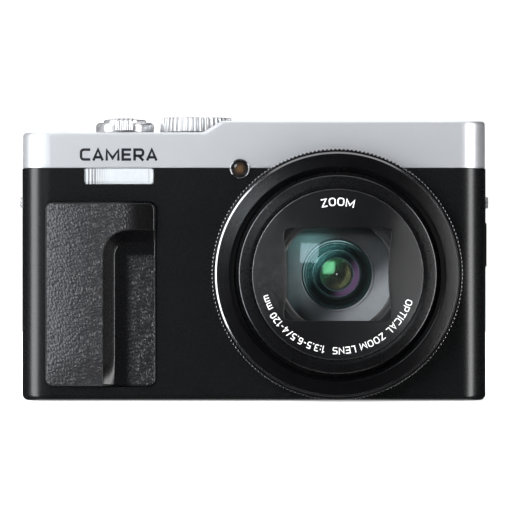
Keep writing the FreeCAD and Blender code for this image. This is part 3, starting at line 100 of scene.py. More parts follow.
class Finish:
    """A material round one Principled shader. Numbers and colours given here are set on its own sockets."""

    def __init__(self, name, **constants):
        self.material = bpy.data.materials.new(name)
        self.material.use_nodes = True
        self.tree = self.material.node_tree
        self.tree.nodes.clear()
        self.output = self.tree.nodes.new("ShaderNodeOutputMaterial")
        self.shader = self.tree.nodes.new("ShaderNodeBsdfPrincipled")
        self.tree.links.new(self.shader.outputs[0], self.output.inputs["Surface"])
        for key, value in constants.items():
            self.fill(self.shader.inputs[key.replace("_", " ")], value)

    def fill(self, socket, value):
        """Links a wire to a socket, or sets the socket to a number or a colour."""
        if isinstance(value, Wire):
            self.tree.links.new(value.socket, socket)
        elif isinstance(value, tuple) and len(value) == 3 and len(socket.default_value) == 4:
            socket.default_value = value + (1.0,)
        else:
            socket.default_value = value

    def node(self, kind, settings=None, inputs=None, output=0):
        """Adds a node: its settings first, then the values or wires of its sockets. Returns one output."""
        made = self.tree.nodes.new(kind)
        for key, value in (settings or {}).items():
            setattr(made, key, value)
        for key, value in (inputs or {}).items():
            self.fill(made.inputs[key], value)
        return Wire(self, made.outputs[output])

    def feed(self, key, value):
        """Links a wire to one of the Principled shader's sockets."""
        self.fill(self.shader.inputs[key], value)

    def place(self):
        """Object coordinates, in metres in the camera's own frame."""
        return self.node("ShaderNodeTexCoord", None, None, "Object")

    def xyz(self):
        """The three object coordinates, each as a wire of its own."""
        parts = self.node("ShaderNodeSeparateXYZ", None, {0: self.place()}).socket.node
        return [Wire(self, output) for output in parts.outputs]

    def noise(self, size, detail=2.0, rough=0.5):
        """Noise whose lumps are about the given size in metres."""
        inputs = {"Vector": self.place(), "Scale": 1.0 / size, "Detail": detail, "Roughness": rough}
        return self.node("ShaderNodeTexNoise", None, inputs)

    def blend(self, factor, first, second):
        """Mixes two colours by a wire from 0 to 1."""
        made = self.tree.nodes.new("ShaderNodeMix")
        made.data_type = "RGBA"
        for socket, value in ((made.inputs[0], factor), (made.inputs[6], first), (made.inputs[7], second)):
            self.fill(socket, value)
        return Wire(self, made.outputs[2])

    def bump(self, height, depth):
        """Feeds a height in 0 to 1 to the Normal socket; depth is the real height of 1, in metres."""
        self.feed("Normal", self.node("ShaderNodeBump", None, {"Height": height, "Distance": depth}))


front_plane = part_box("front_cover")[0].y
GRAIN = 0.11 * MM
BLACK_DRIFT = 9 * MM
BODY_BLACK = (0.0034, 0.0037, 0.0041)
BODY_BLACK_LIGHT = (0.0048, 0.0052, 0.0058)


def satin_black(name, dark, light, roughness, depth):
    """Black lacquer: tone drifts slowly, roughness varies with a fine grain that also lifts the surface."""
    finish = Finish(name, IOR=1.46)
    drift = finish.noise(BLACK_DRIFT, 3.0)
    grain = finish.noise(GRAIN, 2.0, 0.6)
    finish.feed("Base Color", finish.blend(drift, dark, light))
    finish.feed("Roughness", grain * 0.10 + (roughness - 0.05))
    finish.bump(grain, depth)
    return finish.material


def dress(name, material):
    """Gives a CAD node its finish."""
    slots = nodes[name].data.materials
    slots.clear()
    slots.append(material)


body_black = satin_black("body_black", BODY_BLACK, BODY_BLACK_LIGHT, roughness=0.27, depth=0.0012 * MM)
for node in ("front_cover", "rear_cover", "battery_door", "door_lock", "port_door", "monitor_frame"):
    dress(node, body_black)


# ----------------------------------------
# Top plate: a shell pressed from thin metal and sprayed with silver paint, held by screws from below. The
# paint holds small flakes, so the tone sparkles a little. The power and movie buttons are painted to match.
# ----------------------------------------

SILVER = (0.64, 0.655, 0.685)
SILVER_LIGHT = (0.74, 0.755, 0.785)
FLAKE = 0.16 * MM
FLAKE_DEPTH = 0.0022 * MM
PRESSING_DRIFT = 14 * MM


def silver_paint(name, metallic, roughness):
    """Silver paint: flakes vary in tone and tilt, over a slow drift from the pressing."""
    finish = Finish(name, Metallic=metallic, IOR=1.45)
    flakes = finish.noise(FLAKE, 1.0, 0.7)
    drift = finish.noise(PRESSING_DRIFT, 2.0)
    tone = (flakes * 0.7 + drift * 0.3).math("SUBTRACT", 0.3, clamp=True) * 1.6
    finish.feed("Base Color", finish.blend(tone, SILVER, SILVER_LIGHT))
    finish.feed("Roughness", flakes * 0.08 + (roughness - 0.04))
    finish.bump(flakes, FLAKE_DEPTH)
    return finish.material


plate_silver = silver_paint("plate_silver", metallic=0.70, roughness=0.36)
for node in ("top_plate", "power_button", "record_button"):
    dress(node, plate_silver)


# ----------------------------------------
# Control ring: a turned aluminium ring, anodised black. Round its edge it has straight knurling, then a
# groove, a bright chamfer and a satin conical face that rolls over into the well round the barrels.
# ----------------------------------------

KNURL_TEETH = 190
STEPS_PER_TOOTH = 7
KNURL_DEPTH = 0.38 * MM
ARC_STEPS = 6
SHARP_ANGLE = math.radians(35)
SAME_POINT = 1e-7
NO_AREA = 1e-8


def middle_of(name):
    """The centre of a node's box."""
    return [(low + high) / 2 for low, high in zip(*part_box(name))]


def radius_of(name):
    """Half the width of a round node's box."""
    low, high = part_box(name)
    return (high.x - low.x) / 2


def quads_of(index):
    """Each square of four neighbours in an array of vertex numbers, as a face."""
    corners = [index[:-1, :-1], index[1:, :-1], index[1:, 1:], index[:-1, 1:]]
    return np.stack(corners, -1).reshape(-1, 4).tolist()


def grid_mesh(name, points, wrap_u=False, wrap_v=False):
    """A surface from an array of points, rows by columns: each square of four neighbours is one face, the
    last row or column joins the first where it wraps, doubled points at poles are merged, and faces are
    turned outwards."""
    rows, columns = points.shape[:2]
    index = np.arange(rows * columns).reshape(rows, columns)
    if wrap_u:
        index = np.concatenate([index, index[:1]], 0)
    if wrap_v:
        index = np.concatenate([index, index[:, :1]], 1)
    mesh = bpy.data.meshes.new(name)
    mesh.from_pydata(points.reshape(-1, 3), [], quads_of(index))
    return finished(name, mesh)


def finished(name, mesh):
    """Links a new mesh as an object at the origin, with its doubled points merged, its faces turned
    outwards and smooth, and its sharper edges kept sharp."""
    work = bmesh.new()
    work.from_mesh(mesh)
    bmesh.ops.remove_doubles(work, verts=work.verts, dist=SAME_POINT)
    bmesh.ops.dissolve_degenerate(work, edges=work.edges, dist=NO_AREA)
    bmesh.ops.recalc_face_normals(work, faces=work.faces)
    work.to_mesh(mesh)
    work.free()
    mesh.polygons.foreach_set("use_smooth", np.ones(len(mesh.polygons), bool))
    mesh.set_sharp_from_angle(angle=SHARP_ANGLE)
    made = bpy.data.objects.new(name, mesh)
    bpy.context.scene.collection.objects.link(made)
    return made


def rounded(corners, closed=True):
    """A profile through corners given as (radius, along, rounding). Each rounding is a circular arc that
    touches the two straight runs, its points at equal angles; a rounding of 0 keeps the corner."""
    corners = [np.array(c, float) for c in corners]
    count = len(corners)
    line = []
    for i, corner in enumerate(corners):
        at, fillet = corner[:2], corner[2]
        if fillet <= 0 or (not closed and i in (0, count - 1)):
            line.append(at)
            continue
        before = corners[i - 1][:2] - at
        after = corners[(i + 1) % count][:2] - at
        before /= np.linalg.norm(before)
        after /= np.linalg.norm(after)
        half = math.acos(np.clip(before @ after, -1, 1)) / 2
        middle = (before + after) / np.linalg.norm(before + after)
        centre = at + middle * fillet / math.sin(half)
        first = at + before * fillet / math.tan(half) - centre
        last = at + after * fillet / math.tan(half) - centre
        start = math.atan2(first[1], first[0])
        sweep = (math.atan2(last[1], last[0]) - start + math.pi) % (2 * math.pi) - math.pi
        turn = start + sweep * np.linspace(0, 1, ARC_STEPS + 1)
        line.extend(centre + fillet * np.stack([np.cos(turn), np.sin(turn)], -1))
    return np.array(line)


def lathe_points(profile, count, centre, axis="Y", ripple=None):
    """The profile turned round an axis: at angle a, a point with radius r lies at r cos a and r sin a from
    the centre, and along the axis at its own height. A ripple adds to the radius, by angle and profile
    point."""
    angle = np.arange(count) * 2 * math.pi / count
    radius = np.repeat(profile[None, :, 0], count, 0)
    if ripple is not None:
        radius = radius + ripple(angle[:, None], profile[None, :])
    across = radius * np.cos(angle)[:, None]
    up = radius * np.sin(angle)[:, None]
    along = np.repeat(profile[None, :, 1], count, 0)
    if axis == "Y":
        parts = (across + centre[0], along, up + centre[1])
    else:
        parts = (across + centre[0], up + centre[1], along)
    return np.stack(parts, -1)


def turned(name, corners, count, centre, axis="Y", ripple=None, solid=False):
    """A turned piece, from corners in metres: radius, height along the axis, and rounding. The profile of a
    solid piece starts and ends on the axis; any other profile closes on itself."""
    points = lathe_points(rounded(corners, closed=not solid), count, centre, axis, ripple)
    return grid_mesh(name, points, wrap_u=True, wrap_v=not solid)


LENS_X, _, LENS_Z = middle_of("outer_barrel")


def lens_lathe(name, corners, count=256, ripple=None):
    """A turned piece on the lens axis."""
    return turned(name, corners, count, (LENS_X, LENS_Z), "Y", ripple)


POLISH_FADE = 0.06 * MM
RING_RADIUS = radius_of("control_ring")
RING_FRONT, RING_BACK = (corner.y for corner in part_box("control_ring"))
BAND_FRONT = RING_BACK - 4.8 * MM
GROOVE_FRONT = BAND_FRONT - 0.5 * MM
GROOVE_RADIUS = RING_RADIUS - 0.8 * MM
CHAMFER_FRONT = GROOVE_FRONT - 1.30 * MM
CHAMFER_BACK = CHAMFER_FRONT + 0.42 * MM
FACE_RADIUS = GROOVE_RADIUS - 0.50 * MM
CROWN_RADIUS = FACE_RADIUS - 3.0 * MM
LIP_RADIUS = CROWN_RADIUS - 1.2 * MM
RING_BORE = 25.26 * MM
WELL_BOTTOM = RING_FRONT + 1.4 * MM


def knurl(angle, profile):
    """Straight knurling: on the band, the radius dips by the knurl's depth between teeth, as a raised cosine
    sharpened by a power, and the dips grow shallow as the band's rounded edges fall to the groove."""
    wave = (0.5 - 0.5 * np.cos(angle * KNURL_TEETH)) ** 1.4
    on_band = profile[..., 0] > GROOVE_RADIUS + 0.15 * MM
    edge = np.clip((profile[..., 0] - GROOVE_RADIUS) / (RING_RADIUS - GROOVE_RADIUS), 0, 1)
    return -KNURL_DEPTH * wave * on_band * edge


control_ring = lens_lathe(
    "control_ring_turned",
    [
        (RING_BORE, RING_BACK, 0),
        (RING_RADIUS, RING_BACK, 0.3 * MM),
        (RING_RADIUS, BAND_FRONT, 0.3 * MM),
        (GROOVE_RADIUS - 0.25 * MM, BAND_FRONT - 0.02 * MM, 0.06 * MM),
        (GROOVE_RADIUS - 0.25 * MM, GROOVE_FRONT, 0.06 * MM),
        (GROOVE_RADIUS, GROOVE_FRONT - 0.05 * MM, 0.08 * MM),
        (GROOVE_RADIUS, CHAMFER_BACK, 0.12 * MM),
        (FACE_RADIUS, CHAMFER_FRONT, 0.25 * MM),
        (CROWN_RADIUS, RING_FRONT, 0.55 * MM),
        (LIP_RADIUS, RING_FRONT + 0.7 * MM, 0.3 * MM),
        (LIP_RADIUS, WELL_BOTTOM, 0),
        (RING_BORE, WELL_BOTTOM, 0),
    ],
    KNURL_TEETH * STEPS_PER_TOOTH,
    knurl,
)


def from_axis(finish, x, z):
    """Distance from a line along Y through x and z, and the two offsets that it comes from."""
    at = finish.xyz()
    dx, dz = at[0] - x, at[2] - z
    return (dx * dx + dz * dz).math("SQRT"), dx, dz


def spun_black(
    name, dark, light, roughness, groove=0.13 * MM, depth=0.014 * MM, bright=None, bare_tone=(0.3, 0.3, 0.31)
):
    """Black anodised metal turned on a lathe: fine rings of tool marks round the lens axis, uneven in
    depth, which draw light out into soft wedges, with a tone that drifts slowly. Between the radii of
    bright, the anodising is polished off and bare metal shows."""
    finish = Finish(name, IOR=1.5)
    radius, _, _ = from_axis(finish, LENS_X, LENS_Z)
    marks = radius.waves(groove)
    uneven = finish.noise(0.8 * MM, 2.0)
    drift = finish.noise(7 * MM, 2.0)
    tone = finish.blend(drift, dark, light)
    rough = uneven * 0.08 + (roughness - 0.04)
    if bright:
        bare = 0.0
        for low, high in bright:
            bare = radius.step(low, low + POLISH_FADE) * radius.step(high, high - POLISH_FADE) + bare
        tone = finish.blend(bare, tone, bare_tone)
        finish.feed("Metallic", bare)
        rough = rough - bare * 0.05
        marks = marks * (1.0 - bare)
    finish.feed("Base Color", tone)
    finish.feed("Roughness", rough)
    finish.bump(marks * (uneven * 0.25 + 0.87), depth)
    return finish.material


ring_black = spun_black(
    "ring_black", (0.0010, 0.0010, 0.0013), (0.0022, 0.0022, 0.0026), 0.24, depth=0.004 * MM,
    bright=((FACE_RADIUS, FACE_RADIUS + 0.42 * MM), (RING_RADIUS - 0.28 * MM, RING_RADIUS + 1 * MM)),
    bare_tone=(0.27, 0.27, 0.28),
)
control_ring.data.materials.append(ring_black)
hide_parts("control_ring")
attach(control_ring, "ring")


# ----------------------------------------
# Collar and barrels: the fixed sleeve that the ring turns on, and two turned tubes that slide in it. Their
# front rims are bevelled, and the edges are polished by handling.
# ----------------------------------------

COLLAR_FRONT, COLLAR_BACK = (corner.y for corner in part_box("lens_collar"))
COLLAR_SLEEVE = 25.2 * MM
COLLAR_BORE = 23.65 * MM
COLLAR_FLANGE = radius_of("lens_collar")
FLANGE_FRONT = front_plane - 1.5 * MM
barrel_black = spun_black(
    "barrel_black", (0.0012, 0.0012, 0.0015), (0.0026, 0.0026, 0.0030), 0.28, depth=0.009 * MM,
    bright=((23.30 * MM, 23.50 * MM),), bare_tone=(0.08, 0.08, 0.085),
)

collar = lens_lathe(
    "lens_collar_turned",
    [
        (COLLAR_BORE, COLLAR_FRONT, 0.15 * MM),
        (COLLAR_SLEEVE, COLLAR_FRONT, 0.15 * MM),
        (COLLAR_SLEEVE, FLANGE_FRONT, 0.05 * MM),
        (COLLAR_FLANGE, FLANGE_FRONT, 0.2 * MM),
        (COLLAR_FLANGE, front_plane, 0),
        (COLLAR_SLEEVE, front_plane, 0),
        (COLLAR_SLEEVE, COLLAR_BACK, 0),
        (COLLAR_BORE, COLLAR_BACK, 0),
    ],
)
collar.data.materials.append(barrel_black)
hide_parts("lens_collar")
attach(collar, "casing")

OUTER_FRONT, OUTER_BACK = (corner.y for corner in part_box("outer_barrel"))
OUTER_RADIUS = radius_of("outer_barrel")
OUTER_BORE = OUTER_RADIUS - 1.6 * MM
INNER_RADIUS = 20.4 * MM
RIM_THICKNESS = 1.2 * MM
RIM_FALL = 0.35 * MM
SLIDE_GAP = 0.06 * MM

outer_barrel = lens_lathe(
    "outer_barrel_turned",
    [
        (INNER_RADIUS + SLIDE_GAP, OUTER_FRONT + 0.05 * MM, 0.12 * MM),
        (INNER_RADIUS + 1.0 * MM, OUTER_FRONT, 0.5 * MM),
        (OUTER_RADIUS, OUTER_FRONT + RIM_FALL, 0.4 * MM),
        (OUTER_RADIUS, OUTER_BACK, 0),
        (OUTER_BORE, OUTER_BACK, 0),
        (OUTER_BORE, OUTER_FRONT + RIM_THICKNESS, 0),
        (INNER_RADIUS + SLIDE_GAP, OUTER_FRONT + RIM_THICKNESS, 0),
    ],
)
outer_barrel.data.materials.append(barrel_black)
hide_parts("outer_barrel")
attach(outer_barrel, "first_stage")

INNER_FRONT, INNER_BACK = (corner.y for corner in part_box("inner_barrel"))
INNER_BORE = INNER_RADIUS - 1.6 * MM
FOOT_FRONT = INNER_BACK - 1.5 * MM
inner_barrel = lens_lathe(
    "inner_barrel_turned",
    [
        (INNER_BORE, INNER_FRONT, 0),
        (INNER_RADIUS, INNER_FRONT, 0),
        (INNER_RADIUS, FOOT_FRONT, 0),
        (OUTER_BORE - SLIDE_GAP, FOOT_FRONT, 0.1 * MM),
        (OUTER_BORE - SLIDE_GAP, INNER_BACK, 0.1 * MM),
        (INNER_BORE, INNER_BACK, 0),
    ],
)
inner_barrel.data.materials.append(barrel_black)
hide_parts("inner_barrel")
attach(inner_barrel, "second_stage")


# ----------------------------------------
# Name ring: a moulded black disc that closes the front of the inner barrel. Its window is a rectangle with
# round corners whose two short sides are drawn in. It carries white printed lettering.
# ----------------------------------------

WINDOW_HALF_WIDTH = 13.2 * MM
WINDOW_HALF_HEIGHT = 11.0 * MM
WINDOW_PINCH = 1.2 * MM
WINDOW_SQUARENESS = 13.0
SOLVING_ROUNDS = 12
ring_front, ring_back = (corner.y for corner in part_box("name_ring"))
NAME_FALL = 0.30 * MM
NAME_LIP = 0.16 * MM
NAME_RIM = INNER_RADIUS - 0.03 * MM


def window_radius(angle):
    """Distance from the lens axis to the window's edge at an angle. The edge is a superellipse whose half
    width shrinks by the pinch towards mid height, solved by a few rounds of substitution."""
    across, up = np.cos(angle), np.sin(angle)
    height = WINDOW_HALF_HEIGHT
    radius = np.full_like(angle, height)
    for _ in range(SOLVING_ROUNDS):
        level = np.clip(radius * up / height, -1, 1)
        width = WINDOW_HALF_WIDTH - WINDOW_PINCH * (1 - level**2)
        power = WINDOW_SQUARENESS
        radius = ((np.abs(across) / width) ** power + (np.abs(up) / height) ** power) ** (-1 / power)
    return radius


def name_ring_points(count=720):
    """Each column of points is one angle. Down a column, the surface starts at the back of the window,
    comes forward along its wall, rounds over on to the face, falls slightly to the rim, and goes back round
    the rim."""
    angle = np.arange(count) * 2 * math.pi / count
    edge, lip = window_radius(angle), NAME_LIP
    turn = np.linspace(0, math.pi / 2, ARC_STEPS + 1)
    rows = [(edge, ring_back)]
    for t in turn:
        rows.append((edge + lip * (1 - math.cos(t)), ring_front + lip * (1 - math.sin(t))))
    inner_face, outer_face = edge + lip, NAME_RIM - lip
    for share in np.linspace(0, 1, 10)[1:]:
        rows.append((inner_face + (outer_face - inner_face) * share, ring_front + NAME_FALL * share**2))
    for t in turn[1:]:
        rows.append((NAME_RIM - lip * (1 - math.sin(t)), ring_front + NAME_FALL + lip * (1 - math.cos(t))))
    rows.append((NAME_RIM, ring_back))
    grid = np.zeros((count, len(rows), 3))
    for column, (radius, depth) in enumerate(rows):
        radius = np.broadcast_to(radius, angle.shape)
        grid[:, column] = np.stack(
            [LENS_X + radius * np.cos(angle), np.full(count, depth), LENS_Z + radius * np.sin(angle)], -1
        )
    return grid


name_ring = grid_mesh("name_ring_moulded", name_ring_points(), wrap_u=True, wrap_v=True)
name_black = spun_black(
    "name_black", (0.0016, 0.0016, 0.002), (0.0032, 0.0032, 0.0038), 0.30, depth=0.0195 * MM,
    bright=((INNER_RADIUS - 0.24 * MM, INNER_RADIUS - 0.06 * MM),), bare_tone=(0.22, 0.22, 0.225),
)
name_ring.data.materials.append(name_black)
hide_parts("name_ring")
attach(name_ring, "second_stage")


PAINT_LIFT = 0.03 * MM
PAINT_SINK = 0.02 * MM
LETTER_GAP = 0.24
MITRE_LIMIT = 0.55
LO, MID, HI, TOP = 0.093, 0.5, 0.907, 1.0
# Each letter: its width, then its strokes. Sizes are shares of a capital's height, and a third number rounds
# a bend. A stroke that ends where it starts is a closed loop.
LETTERS = {
    "A": (1.02, [[(0.06, 0.0), (0.51, 0.92), (0.96, 0.0)], [(0.24, 0.27), (0.78, 0.27)]]),
    "C": (0.98, [[(0.98, HI), (LO, HI, 0.28), (LO, LO, 0.28), (0.98, LO)]]),
    "D": (0.98, [[(0.3, HI), (0.88, HI, 0.36), (0.88, LO, 0.36), (LO, LO), (LO, HI), (0.3, HI)]]),
    "E": (0.90, [[(0.90, HI), (LO, HI), (LO, LO), (0.90, LO)], [(LO, MID), (0.82, MID)]]),
    "I": (0.19, [[(LO, 0.0), (LO, TOP)]]),
    "L": (0.76, [[(LO, TOP), (LO, LO), (0.76, LO)]]),
    "M": (1.30, [[(LO, 0.0), (LO, 0.86), (0.65, 0.20), (1.207, 0.86), (1.207, 0.0)]]),
    "N": (1.02, [[(LO, 0.0), (LO, 0.86), (0.93, 0.14), (0.93, TOP)]]),
    "O": (1.04, [[(0.52, HI), (0.947, HI, 0.36), (0.947, LO, 0.36), (LO, LO, 0.36), (LO, HI, 0.36),
                  (0.52, HI)]]),
    "P": (0.96, [[(LO, 0.0), (LO, HI), (0.867, HI, 0.24), (0.867, 0.40, 0.24), (LO, 0.40)]]),
    "R": (1.00, [[(LO, 0.0), (LO, HI), (HI, HI, 0.24), (HI, 0.40, 0.24), (LO, 0.40)],
                 [(0.48, 0.40), (0.93, 0.0)]]),
    "S": (0.92, [[(0.86, HI), (LO, HI, 0.2), (LO, MID, 0.2), (0.827, MID, 0.2), (0.827, LO, 0.2),
                  (0.05, LO)]]),
    "T": (0.90, [[(0.0, HI), (0.90, HI)], [(0.45, HI), (0.45, 0.0)]]),
    "U": (1.02, [[(LO, TOP), (LO, LO, 0.32), (0.93, LO, 0.32), (0.93, TOP)]]),
    "Z": (0.94, [[(0.06, HI), (0.84, HI), (0.09, LO), (0.90, LO)]]),
    "m": (1.26, [[(LO, 0.0), (LO, 0.61), (1.167, 0.61, 0.2), (1.167, 0.0)], [(0.63, 0.61), (0.63, 0.0)]]),
    "0": (0.84, [[(0.42, HI), (0.747, HI, 0.3), (0.747, LO, 0.3), (LO, LO, 0.3), (LO, HI, 0.3), (0.42, HI)]]),
    "1": (0.42, [[(0.0, 0.74), (0.30, 0.94), (0.30, 0.0)]]),
    "2": (0.80, [[(0.05, HI), (0.70, HI, 0.22), (0.70, 0.52, 0.2), (0.10, LO), (0.78, LO)]]),
    "3": (0.80, [[(0.04, HI), (0.70, HI, 0.18), (0.70, 0.52, 0.16), (0.25, 0.52)],
                 [(0.60, 0.52), (0.707, 0.52, 0.1), (0.707, LO, 0.2), (0.04, LO)]]),
    "4": (0.88, [[(0.64, 0.0), (0.64, 0.93), (0.07, 0.27), (0.88, 0.27)]]),
    "5": (0.80, [[(0.74, HI), (0.11, HI), (0.11, 0.56), (0.70, 0.56, 0.22), (0.70, LO, 0.22), (0.04, LO)]]),
    "6": (0.82, [[(0.68, HI), (LO, HI, 0.28), (LO, LO, 0.22), (0.727, LO, 0.22), (0.727, 0.54, 0.22),
                  (0.12, 0.54)]]),
    ":": (0.2, [[(0.1, 0.02), (0.1, 0.2)], [(0.1, 0.5), (0.1, 0.68)]]),
    ".": (0.2, [[(0.1, 0.0), (0.1, 0.18)]]),
    "-": (0.5, [[(0.05, 0.43), (0.45, 0.43)]]),
    "/": (0.6, [[(0.06, 0.0), (0.54, TOP)]]),
    " ": (0.4, []),
}


def stroke_points(line, stroke, closed):
    """A stroke as four long edges: the line moved half a stroke to each side along the mitre of its bends,
    once at the face and once at the paint's height."""
    run = np.diff(line, axis=0)
    run /= np.linalg.norm(run, axis=1)[:, None]
    before = np.concatenate([run[-1:] if closed else run[:1], run])
    after = np.concatenate([run, run[:1] if closed else run[-1:]])
    across = np.stack([-(before + after)[:, 1], (before + after)[:, 0]], -1)
    across /= np.linalg.norm(across, axis=1)[:, None]
    mitre = across[:, 0] * -after[:, 1] + across[:, 1] * after[:, 0]
    offset = across * (stroke / 2) / np.maximum(mitre, MITRE_LIMIT)[:, None]
    edges = [(line + offset, 0.0), (line + offset, 1.0), (line - offset, 1.0), (line - offset, 0.0)]
    return np.stack([np.concatenate([edge, np.full((len(edge), 1), lift)], 1) for edge, lift in edges], 1)


def word_mesh(name, words, height, squash, stroke):
    """A word made of strokes, flat in X and Y and centred on its width: letters are set out from the left,
    their widths are squashed by the given share, and the paint stands a little proud of the face at
    zero."""
    vertices, faces, at, start = [], [], 0.0, 0
    for letter in words:
        width, strokes = LETTERS[letter]
        for corners in strokes:
            closed = corners[0] == corners[-1]
            scaled = [
                ((at + x) * squash * height, y * height, (bend[0] if bend else 0) * height * squash)
                for x, y, *bend in corners
            ]
            points = stroke_points(rounded(scaled, closed=False), stroke, closed)
            if closed:
                points = points[:-1]
            count = len(points)
            index = start + np.arange(count * 4).reshape(count, 4)
            if closed:
                index = np.concatenate([index, index[:1]], 0)
            else:
                faces += [index[0].tolist(), index[-1][::-1].tolist()]
            index = np.concatenate([index, index[:, :1]], 1)
            faces += quads_of(index)
            vertices.append(points.reshape(-1, 3))
            start += count * 4
        at += width + LETTER_GAP
    flat = np.concatenate(vertices)
    flat[:, 0] -= (at - LETTER_GAP) * squash * height / 2
    flat[:, 2] = flat[:, 2] * (PAINT_LIFT + PAINT_SINK) - PAINT_SINK
    mesh = bpy.data.meshes.new(name)
    mesh.from_pydata(flat, [], faces)
    return mesh


def name_face_depth(angle, reach):
    """Depth of the name ring's face: it falls with the square of the share of the way from the window to
    the rim."""
    inner = window_radius(angle) + NAME_LIP
    outer = NAME_RIM - NAME_LIP
    share = np.clip((reach - inner) / (outer - inner), 0, 1)
    return ring_front + NAME_FALL * share**2


def vertices_of(mesh):
    """A mesh's vertices as an array with one row each."""
    points = np.zeros(len(mesh.vertices) * 3)
    mesh.vertices.foreach_get("co", points)
    return points.reshape(-1, 3)


def bend_round_lens(mesh, radius, middle):
    """Wraps flat lettering clockwise round the lens axis with its tops outwards: distance along the line
    becomes an angle at the given radius, height adds to the radius, and the name ring's face there carries
    the letters."""
    along, height, lift = vertices_of(mesh).T
    angle = math.radians(middle) - along / radius
    reach = radius + height
    depth = np.maximum(name_face_depth(angle, reach) - lift, ring_front)
    bent = np.stack([LENS_X + reach * np.cos(angle), depth, LENS_Z + reach * np.sin(angle)], -1)
    mesh.vertices.foreach_set("co", bent.ravel())


def paint(name, dark, light, size, roughness):
    """Printed paint whose tone varies a little with noise of one size."""
    finish = Finish(name, Roughness=roughness)
    finish.feed("Base Color", finish.blend(finish.noise(size), dark, light))
    return finish.material


white_print = paint("white_print", (0.80, 0.80, 0.80), (0.92, 0.92, 0.92), 0.5 * MM, 0.5)
for name, words, height, radius, middle, squash, stroke in (
    ("lens_word", "ZOOM", 2.05 * MM, 16.25 * MM, 90, 0.73, 0.28 * MM),
    ("lens_data", "OPTICAL ZOOM LENS  1:3.5-6.5/4-120 mm", 1.75 * MM, 17.25 * MM, -91.7, 0.695, 0.225 * MM),
):
    mesh = word_mesh(name, words, height, squash, stroke)
    bend_round_lens(mesh, radius, middle)
    lettering = finished(name, mesh)
    lettering.data.materials.append(white_print)
    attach(lettering, "second_stage")


# ----------------------------------------
# Optics: domed glass with coatings that tint what it reflects, in stepped black cells. Only the first three
# pieces of glass can be seen from the front; the focus glass and the sensor lie behind the shutter. Besides
# what the tinted mirror reflects, coloured reflections and the shadow under the window's edges are painted
# into the colours of the glass and of the baffle behind it.
# ----------------------------------------

front_apex, front_rear = (corner.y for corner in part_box("front_element"))
zoom_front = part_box("zoom_element")[0].y
GLASS_SEGMENTS = 128
GLASS_RINGS = 28
MIRROR_ROUGHNESS = 0.04
GRAZING_BLEND = 0.35


def domed_glass(name, apex, rear, radius, curvature):
    """A glass with a spherical front and a flat back. On the front, depth behind the apex at radius r is the
    curvature less the square root of its square less r squared; then straight back, then in to the axis."""
    r = radius * np.sin(np.linspace(0, math.pi / 2, GLASS_RINGS))
    depth = apex + curvature - np.sqrt(curvature**2 - r**2)
    profile = np.concatenate([np.stack([r, depth], -1), [[radius, rear], [0, rear]]])
    return grid_mesh(name, lathe_points(profile, GLASS_SEGMENTS, (LENS_X, LENS_Z)), wrap_u=True)


def mix_shaders(tree, factor, first, second):
    """A Mix Shader of two shader sockets by a third socket, which gives the second one's share."""
    made = tree.nodes.new("ShaderNodeMixShader")
    for socket, source in zip(made.inputs, (factor, first, second)):
        tree.links.new(source, socket)
    return made.outputs[0]


def coated_glass(name, tint, reflect, edge_reflect, painted_layer_of):
    """Coated glass: mostly clear, a share of tinted mirror that grows towards grazing view, and a layer of
    painted reflections and painted shade. The last argument gives that layer's strength and colour as wires."""
    finish = Finish(name, Roughness=0.35, IOR=1.2)
    radius, dx, dz = from_axis(finish, LENS_X, LENS_Z)
    share, colour = painted_layer_of(finish, radius, dx, dz)
    finish.feed("Base Color", colour)
    tree = finish.tree
    clear = tree.nodes.new("ShaderNodeBsdfTransparent")
    mirror = finish.node("ShaderNodeBsdfAnisotropic", None, {"Color": tint, "Roughness": MIRROR_ROUGHNESS})
    facing = finish.node("ShaderNodeLayerWeight", None, {"Blend": GRAZING_BLEND}, 1)
    painted_layer = mix_shaders(tree, share.socket, clear.outputs[0], finish.shader.outputs[0])
    mirrored = (facing * (edge_reflect - reflect) + reflect).socket
    tree.links.new(mix_shaders(tree, mirrored, painted_layer, mirror.socket), finish.output.inputs["Surface"])
    return finish.material


def front_painted_reflection(finish, radius, dx, dz):
    """A faint teal painted reflection in the upper left quarter, cut off near the top by painted shadow under
    the window's edge.
    """
    corner = (dz * 0.8 - dx).step(3 * MM, 22 * MM) * dz.step(10.6 * MM, 9.4 * MM)
    return corner * 0.16 + 0.005, finish.blend(corner, (0.03, 0.04, 0.04), (0.07, 0.26, 0.24))


def line_at(radius, place, width):
    """1 on a thin circle of the given radius, falling to 0 at the given width either side."""
    return abs(radius - place).step(width, width * 0.25)


def zoom_painted_reflection(finish, radius, dx, dz):
    """Painted reflection: teal in the upper left that fades to black, with painted highlights as thin bright
    circles where the glass meets its steps."""
    side = (dz - dx).step(0.0, 10.6 * MM)
    inner = radius.step(3.7 * MM, 4.9 * MM)
    rings = radius.waves(1.1 * MM)
    lit_upper_left = (dz - dx).step(-2 * MM, 9 * MM)
    painted_highlights = 0.0
    for place, width, strength in (
        (8.0 * MM, 0.16 * MM, lit_upper_left * 0.8 + 0.08),
        (7.45 * MM, 0.10 * MM, lit_upper_left * 0.5),
        (5.75 * MM, 0.10 * MM, lit_upper_left * 0.25 + 0.10),
        (5.35 * MM, 0.10 * MM, 0.12),
        (4.0 * MM, 0.14 * MM, 0.16),
    ):
        painted_highlights = line_at(radius, place, width) * strength + painted_highlights
    share = side * side * inner * (rings * 0.3 + 0.6) + painted_highlights
    return share, finish.blend(painted_highlights, (0.07, 0.24, 0.235), (0.75, 0.95, 0.98))


